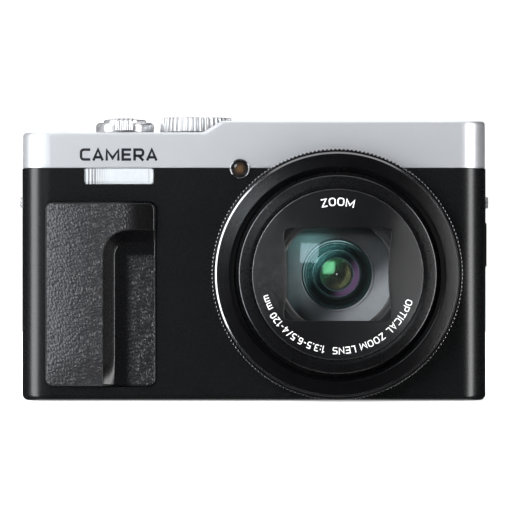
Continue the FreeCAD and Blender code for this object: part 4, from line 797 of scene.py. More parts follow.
def inner_painted_reflection(finish, radius, dx, dz):
    """Painted reflections: a green soft-box picture in the upper left, a green bloom round it, an olive arc
    towards the right rim, and a dark pupil with one painted glint."""
    soft_box_picture = abs(dx + 1.9 * MM).step(1.9 * MM, 1.0 * MM)
    soft_box_picture = soft_box_picture * abs(dz - 1.6 * MM).step(2.0 * MM, 1.1 * MM) * (dz - dx).step(-2 * MM, 4 * MM)
    bloom = (dz - dx).step(-0.3 * MM, 3.6 * MM)
    arc = radius.step(1.6 * MM, 2.8 * MM) * radius.step(3.6 * MM, 3.0 * MM)
    arc = arc * (dx - dz * 0.6).step(0.0, 3.0 * MM)
    pupil = radius.step(0.40 * MM, 0.95 * MM)
    glint = radius.step(0.26 * MM, 0.14 * MM)
    low = finish.blend(bloom, (0.075, 0.085, 0.07), (0.10, 0.36, 0.17))
    tone = finish.blend(soft_box_picture, finish.blend(arc, low, (0.30, 0.34, 0.17)), (0.28, 0.95, 0.48))
    share = (soft_box_picture * 0.6 + arc * 0.15 + 0.36) * pupil + glint * 0.9
    return share.math("MINIMUM", 1.0), finish.blend(glint, tone, (0.9, 0.9, 0.9))


def plain_veil(finish, radius, dx, dz):
    """Clear glass with next to no bloom."""
    return radius.step(0.0, 6 * MM) * 0.02 + 0.02, (0.02, 0.02, 0.03)


def baffle(name):
    """Ribbed grey baffle round the inner glass, with painted light: a teal painted reflection in the upper
    left, painted light at the lower right and a paler painted reflection at the left, painted shadow of the
    window's frame along the top and the left, near black on the narrow steps inside, and a purple painted
    reflection on their lower right."""
    finish = Finish(name, Roughness=0.4, IOR=1.4)
    radius, dx, dz = from_axis(finish, LENS_X, LENS_Z)
    # teal, light and pale are painted reflections and painted light of the soft boxes.
    teal = (dz * 0.5 - dx).step(3.5 * MM, 12 * MM)
    light = (dx * 0.9 - dz).step(5.5 * MM, 15 * MM)
    pale = dx.step(-4 * MM, -9 * MM) * abs(dz).step(11 * MM, 3 * MM)
    tone = finish.blend(light, (0.042, 0.046, 0.050), (0.27, 0.29, 0.31))
    tone = finish.blend(teal, tone, (0.27, 0.55, 0.56))
    tone = finish.blend(pale * 0.8, tone, (0.36, 0.43, 0.46))
    # Painted shadow of the window's frame along the top and the left.
    shade = dz.step(8.8 * MM, 10.2 * MM) + dx.step(-11.2 * MM, -12.4 * MM)
    tone = finish.blend(shade.math("MINIMUM", 1.0) * 0.85, tone, (0.01, 0.012, 0.012))
    deep = radius.step(8.5 * MM, 8.4 * MM)
    purple = (dx - dz * 0.6).step(1 * MM, 5 * MM)
    purple = purple * radius.step(3.6 * MM, 4.2 * MM) * radius.step(5.8 * MM, 5.2 * MM)
    tone = finish.blend(deep, tone, finish.blend(purple, (0.003, 0.004, 0.004), (0.11, 0.055, 0.13)))
    finish.feed("Base Color", finish.blend(finish.noise(2 * MM) * 0.25, tone, (0.02, 0.02, 0.022)))
    finish.bump(radius.waves(0.30 * MM), 0.01 * MM)
    return finish.material


front_glass = domed_glass("front_glass", front_apex, front_rear, radius=14.35 * MM, curvature=34.0 * MM)
front_glass.data.materials.append(coated_glass("front_coating", (0.70, 0.95, 1.0), 0.05, 0.10, front_painted_reflection))
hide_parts("front_element")
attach(front_glass, "second_stage")

CELL_RADIUS = 18.74 * MM
CELL_BORE = 13.35 * MM
GLASS_SEAT = 14.4 * MM
cell_front, cell_rear = (corner.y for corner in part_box("front_cell"))
cell_black = spun_black(
    "cell_black", (0.006, 0.006, 0.007), (0.010, 0.010, 0.011), 0.42, groove=0.4 * MM, depth=0.01 * MM
)
front_cell = lens_lathe(
    "front_cell_moulded",
    [
        (CELL_BORE, cell_front + 1.2 * MM, 0.1 * MM),
        (13.75 * MM, cell_front + 1.0 * MM, 0.1 * MM),
        (13.95 * MM, cell_front + 0.55 * MM, 0.1 * MM),
        (14.6 * MM, cell_front + 0.45 * MM, 0.1 * MM),
        (14.8 * MM, cell_front, 0.15 * MM),
        (CELL_RADIUS, cell_front, 0.1 * MM),
        (CELL_RADIUS, cell_rear, 0),
        (GLASS_SEAT, cell_rear, 0),
        (GLASS_SEAT, cell_front + 2.4 * MM, 0),
        (CELL_BORE, cell_front + 2.4 * MM, 0),
    ],
)
front_cell.data.materials.append(cell_black)
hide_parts("front_cell")
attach(front_cell, "second_stage")

# The zoom cell's front is a wide conical baffle that leads in to the smaller glass by narrow steps.
ZOOM_CELL_RADIUS = radius_of("zoom_cell")
zoom_cell_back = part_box("zoom_cell")[1].y
zoom_cell = lens_lathe(
    "zoom_cell_moulded",
    [
        (8.5 * MM, zoom_front + 0.25 * MM, 0.06 * MM),
        (8.75 * MM, zoom_front + 0.05 * MM, 0.1 * MM),
        (9.1 * MM, zoom_front + 0.25 * MM, 0.1 * MM),
        (ZOOM_CELL_RADIUS, zoom_front + 0.1 * MM, 0),
        (ZOOM_CELL_RADIUS, zoom_cell_back, 0),
        (4.0 * MM, zoom_cell_back, 0),
        (4.0 * MM, zoom_cell_back - 0.5 * MM, 0.1 * MM),
        (5.4 * MM, zoom_cell_back - 0.5 * MM, 0.1 * MM),
        (5.4 * MM, zoom_cell_back - 1.0 * MM, 0.1 * MM),
        (6.8 * MM, zoom_cell_back - 1.0 * MM, 0.1 * MM),
        (6.8 * MM, zoom_cell_back - 1.6 * MM, 0.1 * MM),
        (8.5 * MM, zoom_cell_back - 1.6 * MM, 0.1 * MM),
    ],
)
zoom_cell.data.materials.append(baffle("baffle_grey"))
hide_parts("zoom_cell")
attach(zoom_cell, "zoom_group")

zoom_glass = domed_glass(
    "zoom_glass", zoom_front + 0.05 * MM, zoom_front + 1.75 * MM, radius=8.3 * MM, curvature=21.0 * MM
)
zoom_glass.data.materials.append(coated_glass("zoom_coating", (0.18, 0.80, 0.70), 0.015, 0.06, zoom_painted_reflection))
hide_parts("zoom_element")
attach(zoom_glass, "zoom_group")

inner_glass = domed_glass(
    "inner_glass", zoom_cell_back - 1.55 * MM, zoom_cell_back - 0.55 * MM, radius=3.9 * MM, curvature=5.4 * MM
)
inner_glass.data.materials.append(coated_glass("inner_coating", (0.10, 0.85, 0.30), 0.02, 0.08, inner_painted_reflection))
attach(inner_glass, "zoom_group")

for node in ("shutter_unit", "focus_carriage", "lens_base"):
    dress(node, cell_black)
blade_black = spun_black("blade_black", (0.012, 0.012, 0.013), (0.02, 0.02, 0.021), 0.35)
for node in ("upper_blade", "lower_blade", "upper_follower", "lower_follower"):
    dress(node, blade_black)
dress("focus_element", coated_glass("focus_coating", (0.5, 0.3, 0.8), 0.05, 0.12, plain_veil))


# ----------------------------------------
# Grip: a moulded rubber pad with a leather grain, glued into a recess in the front cover. It swells from the
# left edge to a finger ridge, which drops steeply to a flat floor and hooks over to the right near the top.
# ----------------------------------------

grip_low, grip_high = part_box("grip_pad")
GRIP_SWELL = front_plane - grip_low.y
GRIP_SKIN = 0.6 * MM
GRIP_PITCH = 0.125 * MM
GRIP_CORNER = 1.8 * MM
PEBBLE = 0.92 * MM
PEBBLE_HEIGHT = 0.30 * MM


def smooth(value, low, high):
    """0 below low, 1 above high, and a smooth S curve between them."""
    share = np.clip((value - low) / (high - low), 0, 1)
    return share * share * (3 - 2 * share)


def scatter(column, row, salt):
    """A repeatable number from 0 to 1 for each cell of a grid, from the fraction of a large sine."""
    wave = np.sin(column * 127.1 + row * 311.7 + salt * 74.7) * 43758.5453
    return wave - np.floor(wave)


def pebbles(x, z, size, salt=0.0):
    """Leather pebbles: each cell of a grid holds one random seed point, and the height at a place is the
    distance to the second nearest seed less that to the nearest, so it falls to 0 along the creases between
    pebbles."""
    u, v = x / size, z / size
    column, row = np.floor(u), np.floor(v)
    nearest = np.full_like(u, 9.0)
    second = np.full_like(u, 9.0)
    for i in (-1, 0, 1):
        for j in (-1, 0, 1):
            seed_u = column + i + 0.15 + 0.7 * scatter(column + i, row + j, salt)
            seed_v = row + j + 0.15 + 0.7 * scatter(column + i, row + j, salt + 1.0)
            gap = np.hypot(u - seed_u, v - seed_v)
            second = np.minimum(second, np.maximum(gap, nearest))
            nearest = np.minimum(nearest, gap)
    return second - nearest


def ripple(x, z, size, salt):
    """Soft random swelling: random heights at grid corners, joined by smooth steps."""
    u, v = x / size, z / size
    column, row = np.floor(u), np.floor(v)
    a, b = smooth(u - column, 0, 1), smooth(v - row, 0, 1)
    low = scatter(column, row, salt) * (1 - a) + scatter(column + 1, row, salt) * a
    high = scatter(column, row + 1, salt) * (1 - a) + scatter(column + 1, row + 1, salt) * a
    return low * (1 - b) + high * b


def leather(x, z):
    """Leather grain, 0 to 1: slanting pebbles of two sizes whose outlines wander, some of them run
    together."""
    wander = 0.8 * MM
    sx = x + wander * (ripple(x, z, 1.3 * MM, 3.0) - 0.5) + 0.45 * z
    sz = z + wander * (ripple(x, z, 1.3 * MM, 5.0) - 0.5) - 0.25 * x
    coarse = np.clip(pebbles(sx * 1.2, sz * 0.85, PEBBLE) * 1.35, 0, 1)
    fine = np.clip(pebbles(sx, sz * 0.9, PEBBLE * 0.55, 7.0) * 1.3, 0, 1)
    joined = smooth(ripple(x, z, 0.9 * MM, 9.0), 0.15, 0.75)
    return coarse**0.8 * (0.55 + 0.45 * joined) * 0.75 + fine * 0.25


RIDGE_X = grip_low.x + 13.9 * MM
HOOK_Z = grip_high.z - 6.8 * MM
HOOK_RADIUS = 6.2 * MM
HOLLOW_WALL = 2.9 * MM
SMOOTH_WIDTH = 6.8 * MM


def past_ridge(x, z):
    """How far a place lies past the ridge line, towards the finger hollow. The line runs up at the ridge's
    x, turns right through a quarter circle of the hook's radius, and runs right at the hook's height."""
    right = x - RIDGE_X
    below = HOOK_Z - z
    inside = HOOK_RADIUS - np.hypot(np.maximum(HOOK_RADIUS - right, 0), np.maximum(HOOK_RADIUS - below, 0))
    in_corner = (right < HOOK_RADIUS) & (below < HOOK_RADIUS)
    return np.where(in_corner, inside, np.minimum(right, below))


def grip_height(x, z):
    """Height of the grip over the front cover. The swell rises as a quarter sine from the left edge to the
    ridge and sinks again along the strip over the hollow. Past the ridge the side falls nearly straight, as
    a low power of what is left of the wall's width."""
    rise = np.clip((x - grip_low.x) / (RIDGE_X - 2.0 * MM - grip_low.x), 0, 1)
    swell = GRIP_SKIN + (GRIP_SWELL - GRIP_SKIN - PEBBLE_HEIGHT) * np.sin(rise * math.pi / 2) ** 0.9
    sink = smooth(x, RIDGE_X + 1.0 * MM, grip_high.x + 2.0 * MM)
    swell = swell * (1 - sink) + (GRIP_SKIN + 0.9 * MM) * sink
    left = np.clip(1 - past_ridge(x, z) / HOLLOW_WALL, 0, 1)
    height = GRIP_SKIN + (swell - GRIP_SKIN) * left**1.2
    foot = smooth(z, grip_low.z, grip_low.z + 8 * MM)
    return GRIP_SKIN + (height - GRIP_SKIN) * (0.45 + 0.55 * foot)


def grained(x, z):
    """Where the leather grain shows: everywhere but the hollow's side and the corner over the hook."""
    past = past_ridge(x, z)
    floor_end = smooth(past, SMOOTH_WIDTH - 1.4 * MM, SMOOTH_WIDTH + 0.8 * MM)
    side = smooth(past, -0.3 * MM, 0.3 * MM) * (1 - floor_end)
    over_hook = smooth(z, HOOK_Z - 1.5 * MM, HOOK_Z + 0.5 * MM)
    corner = smooth(x, RIDGE_X + 3.6 * MM, RIDGE_X + 8.4 * MM) * over_hook
    return (1 - side) * (1 - corner)


def rounded_edge(x, z, low, high, corner, bevel):
    """0 on the outline of a rectangle with round corners, rising to 1 at the bevel's distance inside it."""
    dx = np.maximum(low.x + corner - x, x - high.x + corner)
    dz = np.maximum(low.z + corner - z, z - high.z + corner)
    outside = np.hypot(np.maximum(dx, 0), np.maximum(dz, 0)) + np.minimum(np.maximum(dx, dz), 0) - corner
    inward = np.clip(-outside / bevel, 0, 1)
    return np.sqrt(1 - (1 - inward) ** 2)


def squeeze(u, v, corner_x, corner_z):
    """Maps a square from -1 to 1 on to a rectangle with round corners of the given share: rows near the
    ends are drawn in so that the outline follows the corner circles. Only u changes."""
    over_z = np.maximum(np.abs(v) - (1 - corner_z), 0) / corner_z
    return u * (1 - corner_x * (1 - np.sqrt(np.clip(1 - over_z**2, 0, 1))))


def pad(name, low, high, corner, pitch, face_of, back):
    """A pad with a shaped face: a grid over its outline, whose outer ring of points drops to the back, and
    one face across the back."""
    half_x, half_z = (high.x - low.x) / 2, (high.z - low.z) / 2
    columns, rows = int(2 * half_x / pitch), int(2 * half_z / pitch)
    u, v = np.meshgrid(np.linspace(-1, 1, columns), np.linspace(-1, 1, rows), indexing="ij")
    x = low.x + half_x * (squeeze(u, v, corner / half_x, corner / half_z) + 1)
    z = low.z + half_z * (v + 1)
    grid = np.stack([x, face_of(x, z), z], -1)
    skirt = grid.copy()
    skirt[..., 1] = back
    closed = np.concatenate([skirt[:1], grid, skirt[-1:]], 0)
    sides = closed[:, [0, -1]].copy()
    sides[..., 1] = back
    return cap_back(grid_mesh(name, np.concatenate([sides[:, :1], closed, sides[:, 1:]], 1)))


def cap_back(made):
    """Closes the open outline of a piece with one face across it."""
    work = bmesh.new()
    work.from_mesh(made.data)
    rim = [edge for edge in work.edges if edge.is_boundary]
    bmesh.ops.holes_fill(work, edges=rim, sides=0)
    bmesh.ops.recalc_face_normals(work, faces=work.faces)
    work.to_mesh(made.data)
    work.free()
    return made


def grip_face(x, z):
    """Depth of the grip's face: the cover's front, less the grip's height and its grain, rounded off at the
    edge."""
    edge = rounded_edge(x, z, grip_low, grip_high, GRIP_CORNER, 0.7 * MM)
    grain = leather(x, z) * PEBBLE_HEIGHT * smooth(edge, 0.3, 1.0) * grained(x, z)
    return front_plane - (grip_height(x, z) + grain) * edge + 0.15 * MM * (1 - edge)


def grain_and_hollow_shade(x, z):
    """How light the rubber is: as light as its grain on the swell, with painted shade darkest where the grain
    leaves off and darker down in the hollow.
    """
    return grained(x, z) * (1 - 0.5 * smooth(past_ridge(x, z), 0.0, HOLLOW_WALL))


grip = pad("grip_rubber", grip_low, grip_high, GRIP_CORNER, GRIP_PITCH, grip_face, grip_high.y)
grip_x, _, grip_z = vertices_of(grip.data).T
# The attribute holds where the grain shows and the painted shade in the hollow, for the rubber's colour.
grain_and_shade = grip.data.attributes.new("grained", "FLOAT", "POINT")
grain_and_shade.data.foreach_set("value", grain_and_hollow_shade(grip_x, grip_z).astype(np.float32))


def grained_rubber(name, dark, light, roughness, smooth_shaded_tone=None):
    """Black rubber: tone and roughness follow a fine grain, and soft wear lightens the high spots. Where
    the leather grain leaves off the rubber is duller, and there and down in the hollow shade is painted in as
    a darker tone."""
    finish = Finish(name, IOR=1.45)
    grain = finish.noise(0.25 * MM, 3.0, 0.6)
    wear = finish.noise(6 * MM, 2.0)
    tone = finish.blend(grain * 0.6 + wear * 0.4, dark, light)
    rough = grain * 0.16 + (roughness - 0.08)
    if smooth_shaded_tone:
        share = finish.node("ShaderNodeAttribute", {"attribute_name": "grained"}, None, 2)
        # Painted shade: a darker tone where the grain leaves off and in the hollow.
        tone = finish.blend(share, smooth_shaded_tone, tone)
        rough = rough - (1.0 - share) * 0.12
    finish.feed("Base Color", tone)
    finish.feed("Roughness", rough)
    finish.bump(grain, 0.010 * MM)
    return finish.material


leather_rubber = grained_rubber(
    "leather_rubber", (0.013, 0.013, 0.015), (0.022, 0.022, 0.025), 0.38, smooth_shaded_tone=(0.002, 0.002, 0.0023)
)
grip.data.materials.append(leather_rubber)
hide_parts("grip_pad")
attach(grip, "casing")


# ----------------------------------------
# Thumb rest: a thinner pad of the same grained rubber, glued to the rear cover, with one soft upright ridge
# for the thumb to press against.
# ----------------------------------------

thumb_low, thumb_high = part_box("thumb_pad")
back_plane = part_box("rear_cover")[1].y
THUMB_CORNER = 2.2 * MM
THUMB_SKIN = 0.45 * MM
THUMB_RIDGE_WIDTH = 2.6 * MM
THUMB_RIDGE_X = thumb_high.x - 4.2 * MM
THUMB_PEBBLE_HEIGHT = PEBBLE_HEIGHT * 0.7


def thumb_face(x, z):
    """Depth of the thumb rest's face: a thin skin over the rear cover, with a bell-shaped upright ridge at
    its inner side and the grip's leather grain."""
    edge = rounded_edge(x, z, thumb_low, thumb_high, THUMB_CORNER, 0.6 * MM)
    ridge = np.exp(-(((x - THUMB_RIDGE_X) / THUMB_RIDGE_WIDTH) ** 2)) * smooth(edge, 0.2, 1.0)
    rise = thumb_high.y - back_plane - THUMB_SKIN - THUMB_PEBBLE_HEIGHT
    grain = leather(x, z) * THUMB_PEBBLE_HEIGHT * smooth(edge, 0.3, 1.0)
    return back_plane + (THUMB_SKIN + ridge * rise + grain) * edge - 0.15 * MM * (1 - edge)


thumb = pad("thumb_rubber", thumb_low, thumb_high, THUMB_CORNER, GRIP_PITCH, thumb_face, thumb_low.y)
thumb_leather = grained_rubber("thumb_leather", (0.010, 0.010, 0.012), (0.018, 0.018, 0.021), 0.40)
thumb.data.materials.append(thumb_leather)
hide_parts("thumb_pad")
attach(thumb, "casing")


# ----------------------------------------
# Controls on the top plate: turned and polished aluminium, on spindles that go through the plate. The mode
# dial is fluted, the zoom lever has a ribbed tab at the front, and the shutter button is dished.
# ----------------------------------------

dial_low, dial_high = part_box("mode_dial")
DIAL_X, DIAL_Y, _ = middle_of("mode_dial")
DIAL_RADIUS = radius_of("mode_dial")
DIAL_BASE = dial_high.z - 3.5 * MM
DIAL_FACE = dial_high.z - 0.15 * MM
SPINDLE_RADIUS = 2.5 * MM
FLUTES = 40
FLUTE_DEPTH = 0.50 * MM


def bright_metal(name, tone, roughness, axis=None, metallic=0.7):
    """Polished aluminium: near white, with fine rings of tool marks about an upright axis where one is
    given."""
    finish = Finish(name, Metallic=metallic)
    grain = finish.noise(0.3 * MM, 2.0)
    finish.feed("Base Color", finish.blend(grain, tuple(0.93 * t for t in tone), tone))
    finish.feed("Roughness", grain * 0.08 + (roughness - 0.04))
    if axis:
        at = finish.xyz()
        dx, dy = at[0] - axis[0], at[1] - axis[1]
        finish.bump((dx * dx + dy * dy).math("SQRT").waves(0.12 * MM), 0.002 * MM)
    else:
        finish.bump(finish.noise(0.08 * MM, 1.0), 0.001 * MM)
    return finish.material


def flutes(angle, profile):
    """Rounded ridges round the dial's side: the radius dips between them as a squared cosine, and not on
    top."""
    wave = (0.5 - 0.5 * np.cos(angle * FLUTES)) ** 3
    on_side = smooth(profile[..., 0], DIAL_RADIUS - 1.1 * MM, DIAL_RADIUS - 0.3 * MM)
    return -FLUTE_DEPTH * wave * on_side


mode_dial = turned(
    "mode_dial_turned",
    [
        (0, dial_low.z, 0),
        (SPINDLE_RADIUS, dial_low.z, 0),
        (SPINDLE_RADIUS, DIAL_BASE, 0),
        (DIAL_RADIUS, DIAL_BASE, 0.25 * MM),
        (DIAL_RADIUS - 0.35 * MM, dial_high.z, 0.4 * MM),
        (DIAL_RADIUS - 1.5 * MM, dial_high.z, 0.1 * MM),
        (DIAL_RADIUS - 1.7 * MM, DIAL_FACE, 0.1 * MM),
        (0, DIAL_FACE, 0),
    ],
    FLUTES * 12, (DIAL_X, DIAL_Y), "Z", flutes, solid=True,
)
BRIGHT = (0.66, 0.665, 0.68)
mode_dial.data.materials.append(bright_metal("dial_metal", BRIGHT, 0.24, (DIAL_X, DIAL_Y)))
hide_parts("mode_dial")
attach(mode_dial, "dial")

lever_low, lever_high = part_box("zoom_lever")
release_low, release_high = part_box("shutter_button")
RELEASE_X, RELEASE_Y, _ = middle_of("shutter_button")
LEVER_RADIUS = 7.0 * MM
LEVER_BASE = lever_high.z - 3.3 * MM
LEVER_TOP = lever_high.z - 1.0 * MM
LEVER_BORE = 1.76 * MM
LEVER_BOSS = 3.0 * MM
WELL_FLOOR = LEVER_BASE + 0.8 * MM
RELEASE_RADIUS = 5.1 * MM
WELL_RADIUS = RELEASE_RADIUS + 0.15 * MM
lever_metal = bright_metal("lever_metal", BRIGHT, 0.20, (RELEASE_X, RELEASE_Y))

zoom_lever = turned(
    "zoom_lever_turned",
    [
        (LEVER_BORE, lever_low.z, 0),
        (LEVER_BOSS, lever_low.z, 0),
        (LEVER_BOSS, LEVER_BASE, 0),
        (LEVER_RADIUS, LEVER_BASE, 0.15 * MM),
        (LEVER_RADIUS, LEVER_TOP, 0.8 * MM),
        (WELL_RADIUS, LEVER_TOP + 0.02 * MM, 0.15 * MM),
        (WELL_RADIUS, WELL_FLOOR, 0),
        (LEVER_BORE, WELL_FLOOR, 0),
    ],
    192, (RELEASE_X, RELEASE_Y), "Z",
)
zoom_lever.data.materials.append(lever_metal)
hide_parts("zoom_lever")
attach(zoom_lever, "lever")

TAB_HALF = 2.2 * MM
TAB_RIBS = 4
TAB_FRONT = lever_low.y
TAB_BACK = RELEASE_Y - LEVER_RADIUS + 1.2 * MM
TAB_TOP = lever_high.z
TAB_BASE = TAB_TOP - 3.0 * MM
TAB_SHOULDER = 1.0 * MM
TAB_RIB_HEIGHT = 0.50 * MM


def tab_points(columns=96, arc=10):
    """The lever's tab: one line across it, carried from the back of its top, over its front edge and down
    its face. Across the tab the line carries ribs, half sines that stand out along the line's own outward
    direction."""
    across = np.linspace(-1, 1, columns)
    rib = np.abs(np.sin((across + 1) / 2 * math.pi * TAB_RIBS)) ** 0.55
    path = [
        (TAB_BACK, TAB_BASE, 0.0, -1.0),
        (TAB_BACK, TAB_TOP - 0.4 * MM, 0.0, 1.0),
        (TAB_BACK - 0.6 * MM, TAB_TOP, 0.0, 1.0),
    ]
    for t in np.linspace(0, math.pi / 2, arc):
        y = TAB_FRONT + TAB_SHOULDER - TAB_SHOULDER * math.sin(t)
        z = TAB_TOP - TAB_SHOULDER + TAB_SHOULDER * math.cos(t)
        path.append((y, z, -math.sin(t), math.cos(t)))
    path += [(TAB_FRONT, TAB_BASE + 0.15 * MM, -1.0, 0.0), (TAB_FRONT + 0.2 * MM, TAB_BASE, 0.0, -1.0)]
    ribbed = smooth(np.arange(len(path)), 1.5, 3.5) * smooth(np.arange(len(path))[::-1], -0.5, 0.5)
    grid = np.zeros((columns, len(path), 3))
    for k, (y, z, out_y, out_z) in enumerate(path):
        lift = (rib - 1) * TAB_RIB_HEIGHT * ribbed[k]
        grid[:, k, 0] = RELEASE_X + across * TAB_HALF
        grid[:, k, 1] = y + out_y * lift
        grid[:, k, 2] = z + out_z * lift
    return grid


tab = grid_mesh("zoom_tab", tab_points(), wrap_v=True)
cap_back(tab)
tab.data.materials.append(bright_metal("tab_metal", BRIGHT, 0.26))
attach(tab, "lever")

FOOT_RADIUS = 2.4 * MM
FOOT_TOP = release_low.z + 0.6 * MM
STEM_RADIUS = 1.7 * MM
CAP_BASE = release_high.z - 1.4 * MM
shutter_button = turned(
    "shutter_button_turned",
    [
        (0, release_low.z, 0),
        (FOOT_RADIUS, release_low.z, 0.1 * MM),
        (FOOT_RADIUS, FOOT_TOP, 0.1 * MM),
        (STEM_RADIUS, FOOT_TOP, 0),
        (STEM_RADIUS, CAP_BASE, 0),
        (RELEASE_RADIUS, CAP_BASE, 0.1 * MM),
        (RELEASE_RADIUS, release_high.z - 0.1 * MM, 0.35 * MM),
        (RELEASE_RADIUS - 0.9 * MM, release_high.z, 0.6 * MM),
        (RELEASE_RADIUS - 3.2 * MM, release_high.z - 0.3 * MM, 2.5 * MM),
        (0, release_high.z - 0.38 * MM, 0),
    ],
    160, (RELEASE_X, RELEASE_Y), "Z", solid=True,
)
shutter_button.data.materials.append(lever_metal)
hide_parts("shutter_button")
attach(shutter_button, "release")


# ----------------------------------------
# Flash: a clear moulded window, glued into the front cover under the top plate. Its left end is ribbed to
# spread the light, and behind it lie a trough of bright metal and the glass tube that flashes.
# ----------------------------------------

window_low, window_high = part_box("flash_window")
FLASH_CORNER = 0.7 * MM
FLASH_PITCH = 0.06 * MM
COARSE_PITCH = 0.85 * MM
COARSE_DEPTH = 0.16 * MM
FINE_PITCH = 0.6 * MM
FINE_DEPTH = 0.05 * MM
GAP_AT = 2.55 * MM
GAP_WIDTH = 0.12 * MM
GAP_DEPTH = 0.22 * MM


def flash_face(x, z):
    """Depth of the window's face: flat, rounded at the edge, with upright ribs at the left that get finer
    past a narrow bell-shaped groove."""
    edge = rounded_edge(x, z, window_low, window_high, FLASH_CORNER, 0.35 * MM)
    along = x - window_low.x
    past_gap = smooth(along, 2.3 * MM, 2.6 * MM)
    fine = past_gap * (1 - smooth(along, 4.9 * MM, 5.6 * MM)) * FINE_DEPTH
    ribs = np.abs(np.sin(along * math.pi / COARSE_PITCH)) * ((1 - past_gap) * COARSE_DEPTH)
    ribs = ribs + np.abs(np.sin(along * math.pi / FINE_PITCH)) * fine
    gap = GAP_DEPTH * np.exp(-(((along - GAP_AT) / GAP_WIDTH) ** 2))
    return window_low.y + (ribs + gap) + 0.3 * MM * (1 - edge)


flash_window = pad(
    "flash_window_moulded", window_low, window_high, FLASH_CORNER, FLASH_PITCH, flash_face, window_high.y
)


def clear_moulding(name):
    """Clear plastic with a pale, slightly milky body. Its ribs show as painted light and painted shade in the
    colour, strong at the left, and a fine frame line runs just inside its right end and its bottom edge."""
    finish = Finish(name, Roughness=0.14, IOR=1.49, Alpha=0.85)
    at = finish.xyz()
    along, up = at[0] - window_low.x, at[2] - window_low.z
    left = along.step(3.1 * MM, 2.3 * MM)
    fine = along.waves(0.52 * MM) * (1.0 - left) * along.step(6.5 * MM, 3.5 * MM)
    shade = along.waves(COARSE_PITCH) * left * 0.75 + fine * 0.35
    shade = shade + abs(along - 2.62 * MM).step(0.16 * MM, 0.05 * MM) * 0.6
    shade = shade + abs(along - 15.55 * MM).step(0.14 * MM, 0.04 * MM) * up.step(0.2 * MM, 0.9 * MM) * 0.6
    shade = shade + abs(up - 0.55 * MM).step(0.16 * MM, 0.04 * MM) * 0.35 + finish.noise(1.2 * MM, 2.0) * 0.22
    shade = shade.math("MINIMUM", 1.0)
    finish.feed("Base Color", finish.blend(shade, (0.52, 0.55, 0.575), (0.12, 0.13, 0.135)))
    return finish.material


clear_plastic = clear_moulding("clear_plastic")
flash_window.data.materials.append(clear_plastic)
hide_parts("flash_window")
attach(flash_window, "casing")
dress("flash_reflector", bright_metal("reflector_metal", (0.92, 0.93, 0.94), 0.16))
dress("flash_tube", clear_plastic)


# ----------------------------------------
# Focus lamp: a small amber plastic lens in a turned and polished metal bezel. The pair is pressed in from the
# front, across the seam between the top plate and the front cover.
# ----------------------------------------

BEZEL_FRONT, BEZEL_BACK = (corner.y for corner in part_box("lamp_bezel"))
BEZEL_RADIUS = radius_of("lamp_bezel")
LAMP_X, _, LAMP_Z = middle_of("lamp_bezel")
LAMP_RADIUS = 1.85 * MM
LAMP_SEGMENTS = 96
LAMP_DOME = 0.40 * MM
LAMP_INSET = 0.45 * MM

bezel = turned(
    "lamp_bezel_turned",
    [
        (LAMP_RADIUS, BEZEL_FRONT + 0.45 * MM, 0),
        (LAMP_RADIUS + 0.28 * MM, BEZEL_FRONT, 0.12 * MM),
        (BEZEL_RADIUS, BEZEL_FRONT, 0.16 * MM),
        (BEZEL_RADIUS, BEZEL_BACK, 0),
        (LAMP_RADIUS, BEZEL_BACK, 0),
    ],
    LAMP_SEGMENTS, (LAMP_X, LAMP_Z),
)
bezel.data.materials.append(bright_metal("bezel_metal", (0.50, 0.50, 0.52), 0.16, metallic=1.0))
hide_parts("lamp_bezel")
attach(bezel, "casing")

lamp_profile = [
    (LAMP_RADIUS * math.sin(t), front_plane + LAMP_INSET - LAMP_DOME * math.cos(t))
    for t in np.linspace(0, math.pi / 2, 14)
]
lamp_profile = np.array(lamp_profile + [(LAMP_RADIUS, BEZEL_BACK), (0.0, BEZEL_BACK)])
lamp = grid_mesh(
    "lamp_lens_moulded", lathe_points(lamp_profile, LAMP_SEGMENTS, (LAMP_X, LAMP_Z)), wrap_u=True
)


def amber_lens(name):
    """Dark amber plastic: blotches of orange deep in it, towards its middle."""
    finish = Finish(name, Roughness=0.08, IOR=1.49, Coat_Weight=0.6, Coat_Roughness=0.03)
    radius, _, _ = from_axis(finish, LAMP_X, LAMP_Z)
    blotch = finish.noise(0.55 * MM, 2.0, 0.6)
    core = (1.0 - radius / (1.45 * MM)).math("MAXIMUM", 0.0)
    glow = (blotch * core * 2.6).math("MINIMUM", 1.0)
    finish.feed("Base Color", finish.blend(glow, (0.012, 0.011, 0.010), (0.075, 0.043, 0.022)))
    return finish.material


lamp.data.materials.append(amber_lens("amber_lens"))
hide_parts("lamp_lens")
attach(lamp, "casing")


# ----------------------------------------
# Lettering on the plate: one plain word, screen printed in dark paint on the low front of the top plate,
# over the flash. The film of paint is a few hundredths of a millimetre thick.
# ----------------------------------------

plate_front = front_plane + 0.15 * MM
WORD_MIDDLE = -32.55 * MM
WORD_BASE = 57.7 * MM
WORD_HEIGHT = 2.9 * MM
WORD_SQUASH = 0.86
WORD_STROKE = 0.62 * MM


def print_mesh(name, mesh, at, right, up, body, material):
    """Prints a flat mesh on a face: its X runs along right, its Y along up, and its own height along their
    cross product, which points out of the face."""
    right, up = np.array(right, float), np.array(up, float)
    axes = np.stack([right, up, np.cross(right, up)])
    mesh.vertices.foreach_set("co", (vertices_of(mesh) @ axes + np.array(at, float)).ravel())
    mark = finished(name, mesh)
    mark.data.materials.append(material)
    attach(mark, body)


dark_paint = paint("dark_paint", (0.004, 0.005, 0.008), (0.009, 0.010, 0.014), 0.6 * MM, 0.35)
print_mesh(
    "plate_word", word_mesh("plate_word", "CAMERA", WORD_HEIGHT, WORD_SQUASH, WORD_STROKE),
    (WORD_MIDDLE, plate_front, WORD_BASE), (1, 0, 0), (0, 0, 1), "casing", dark_paint,
)


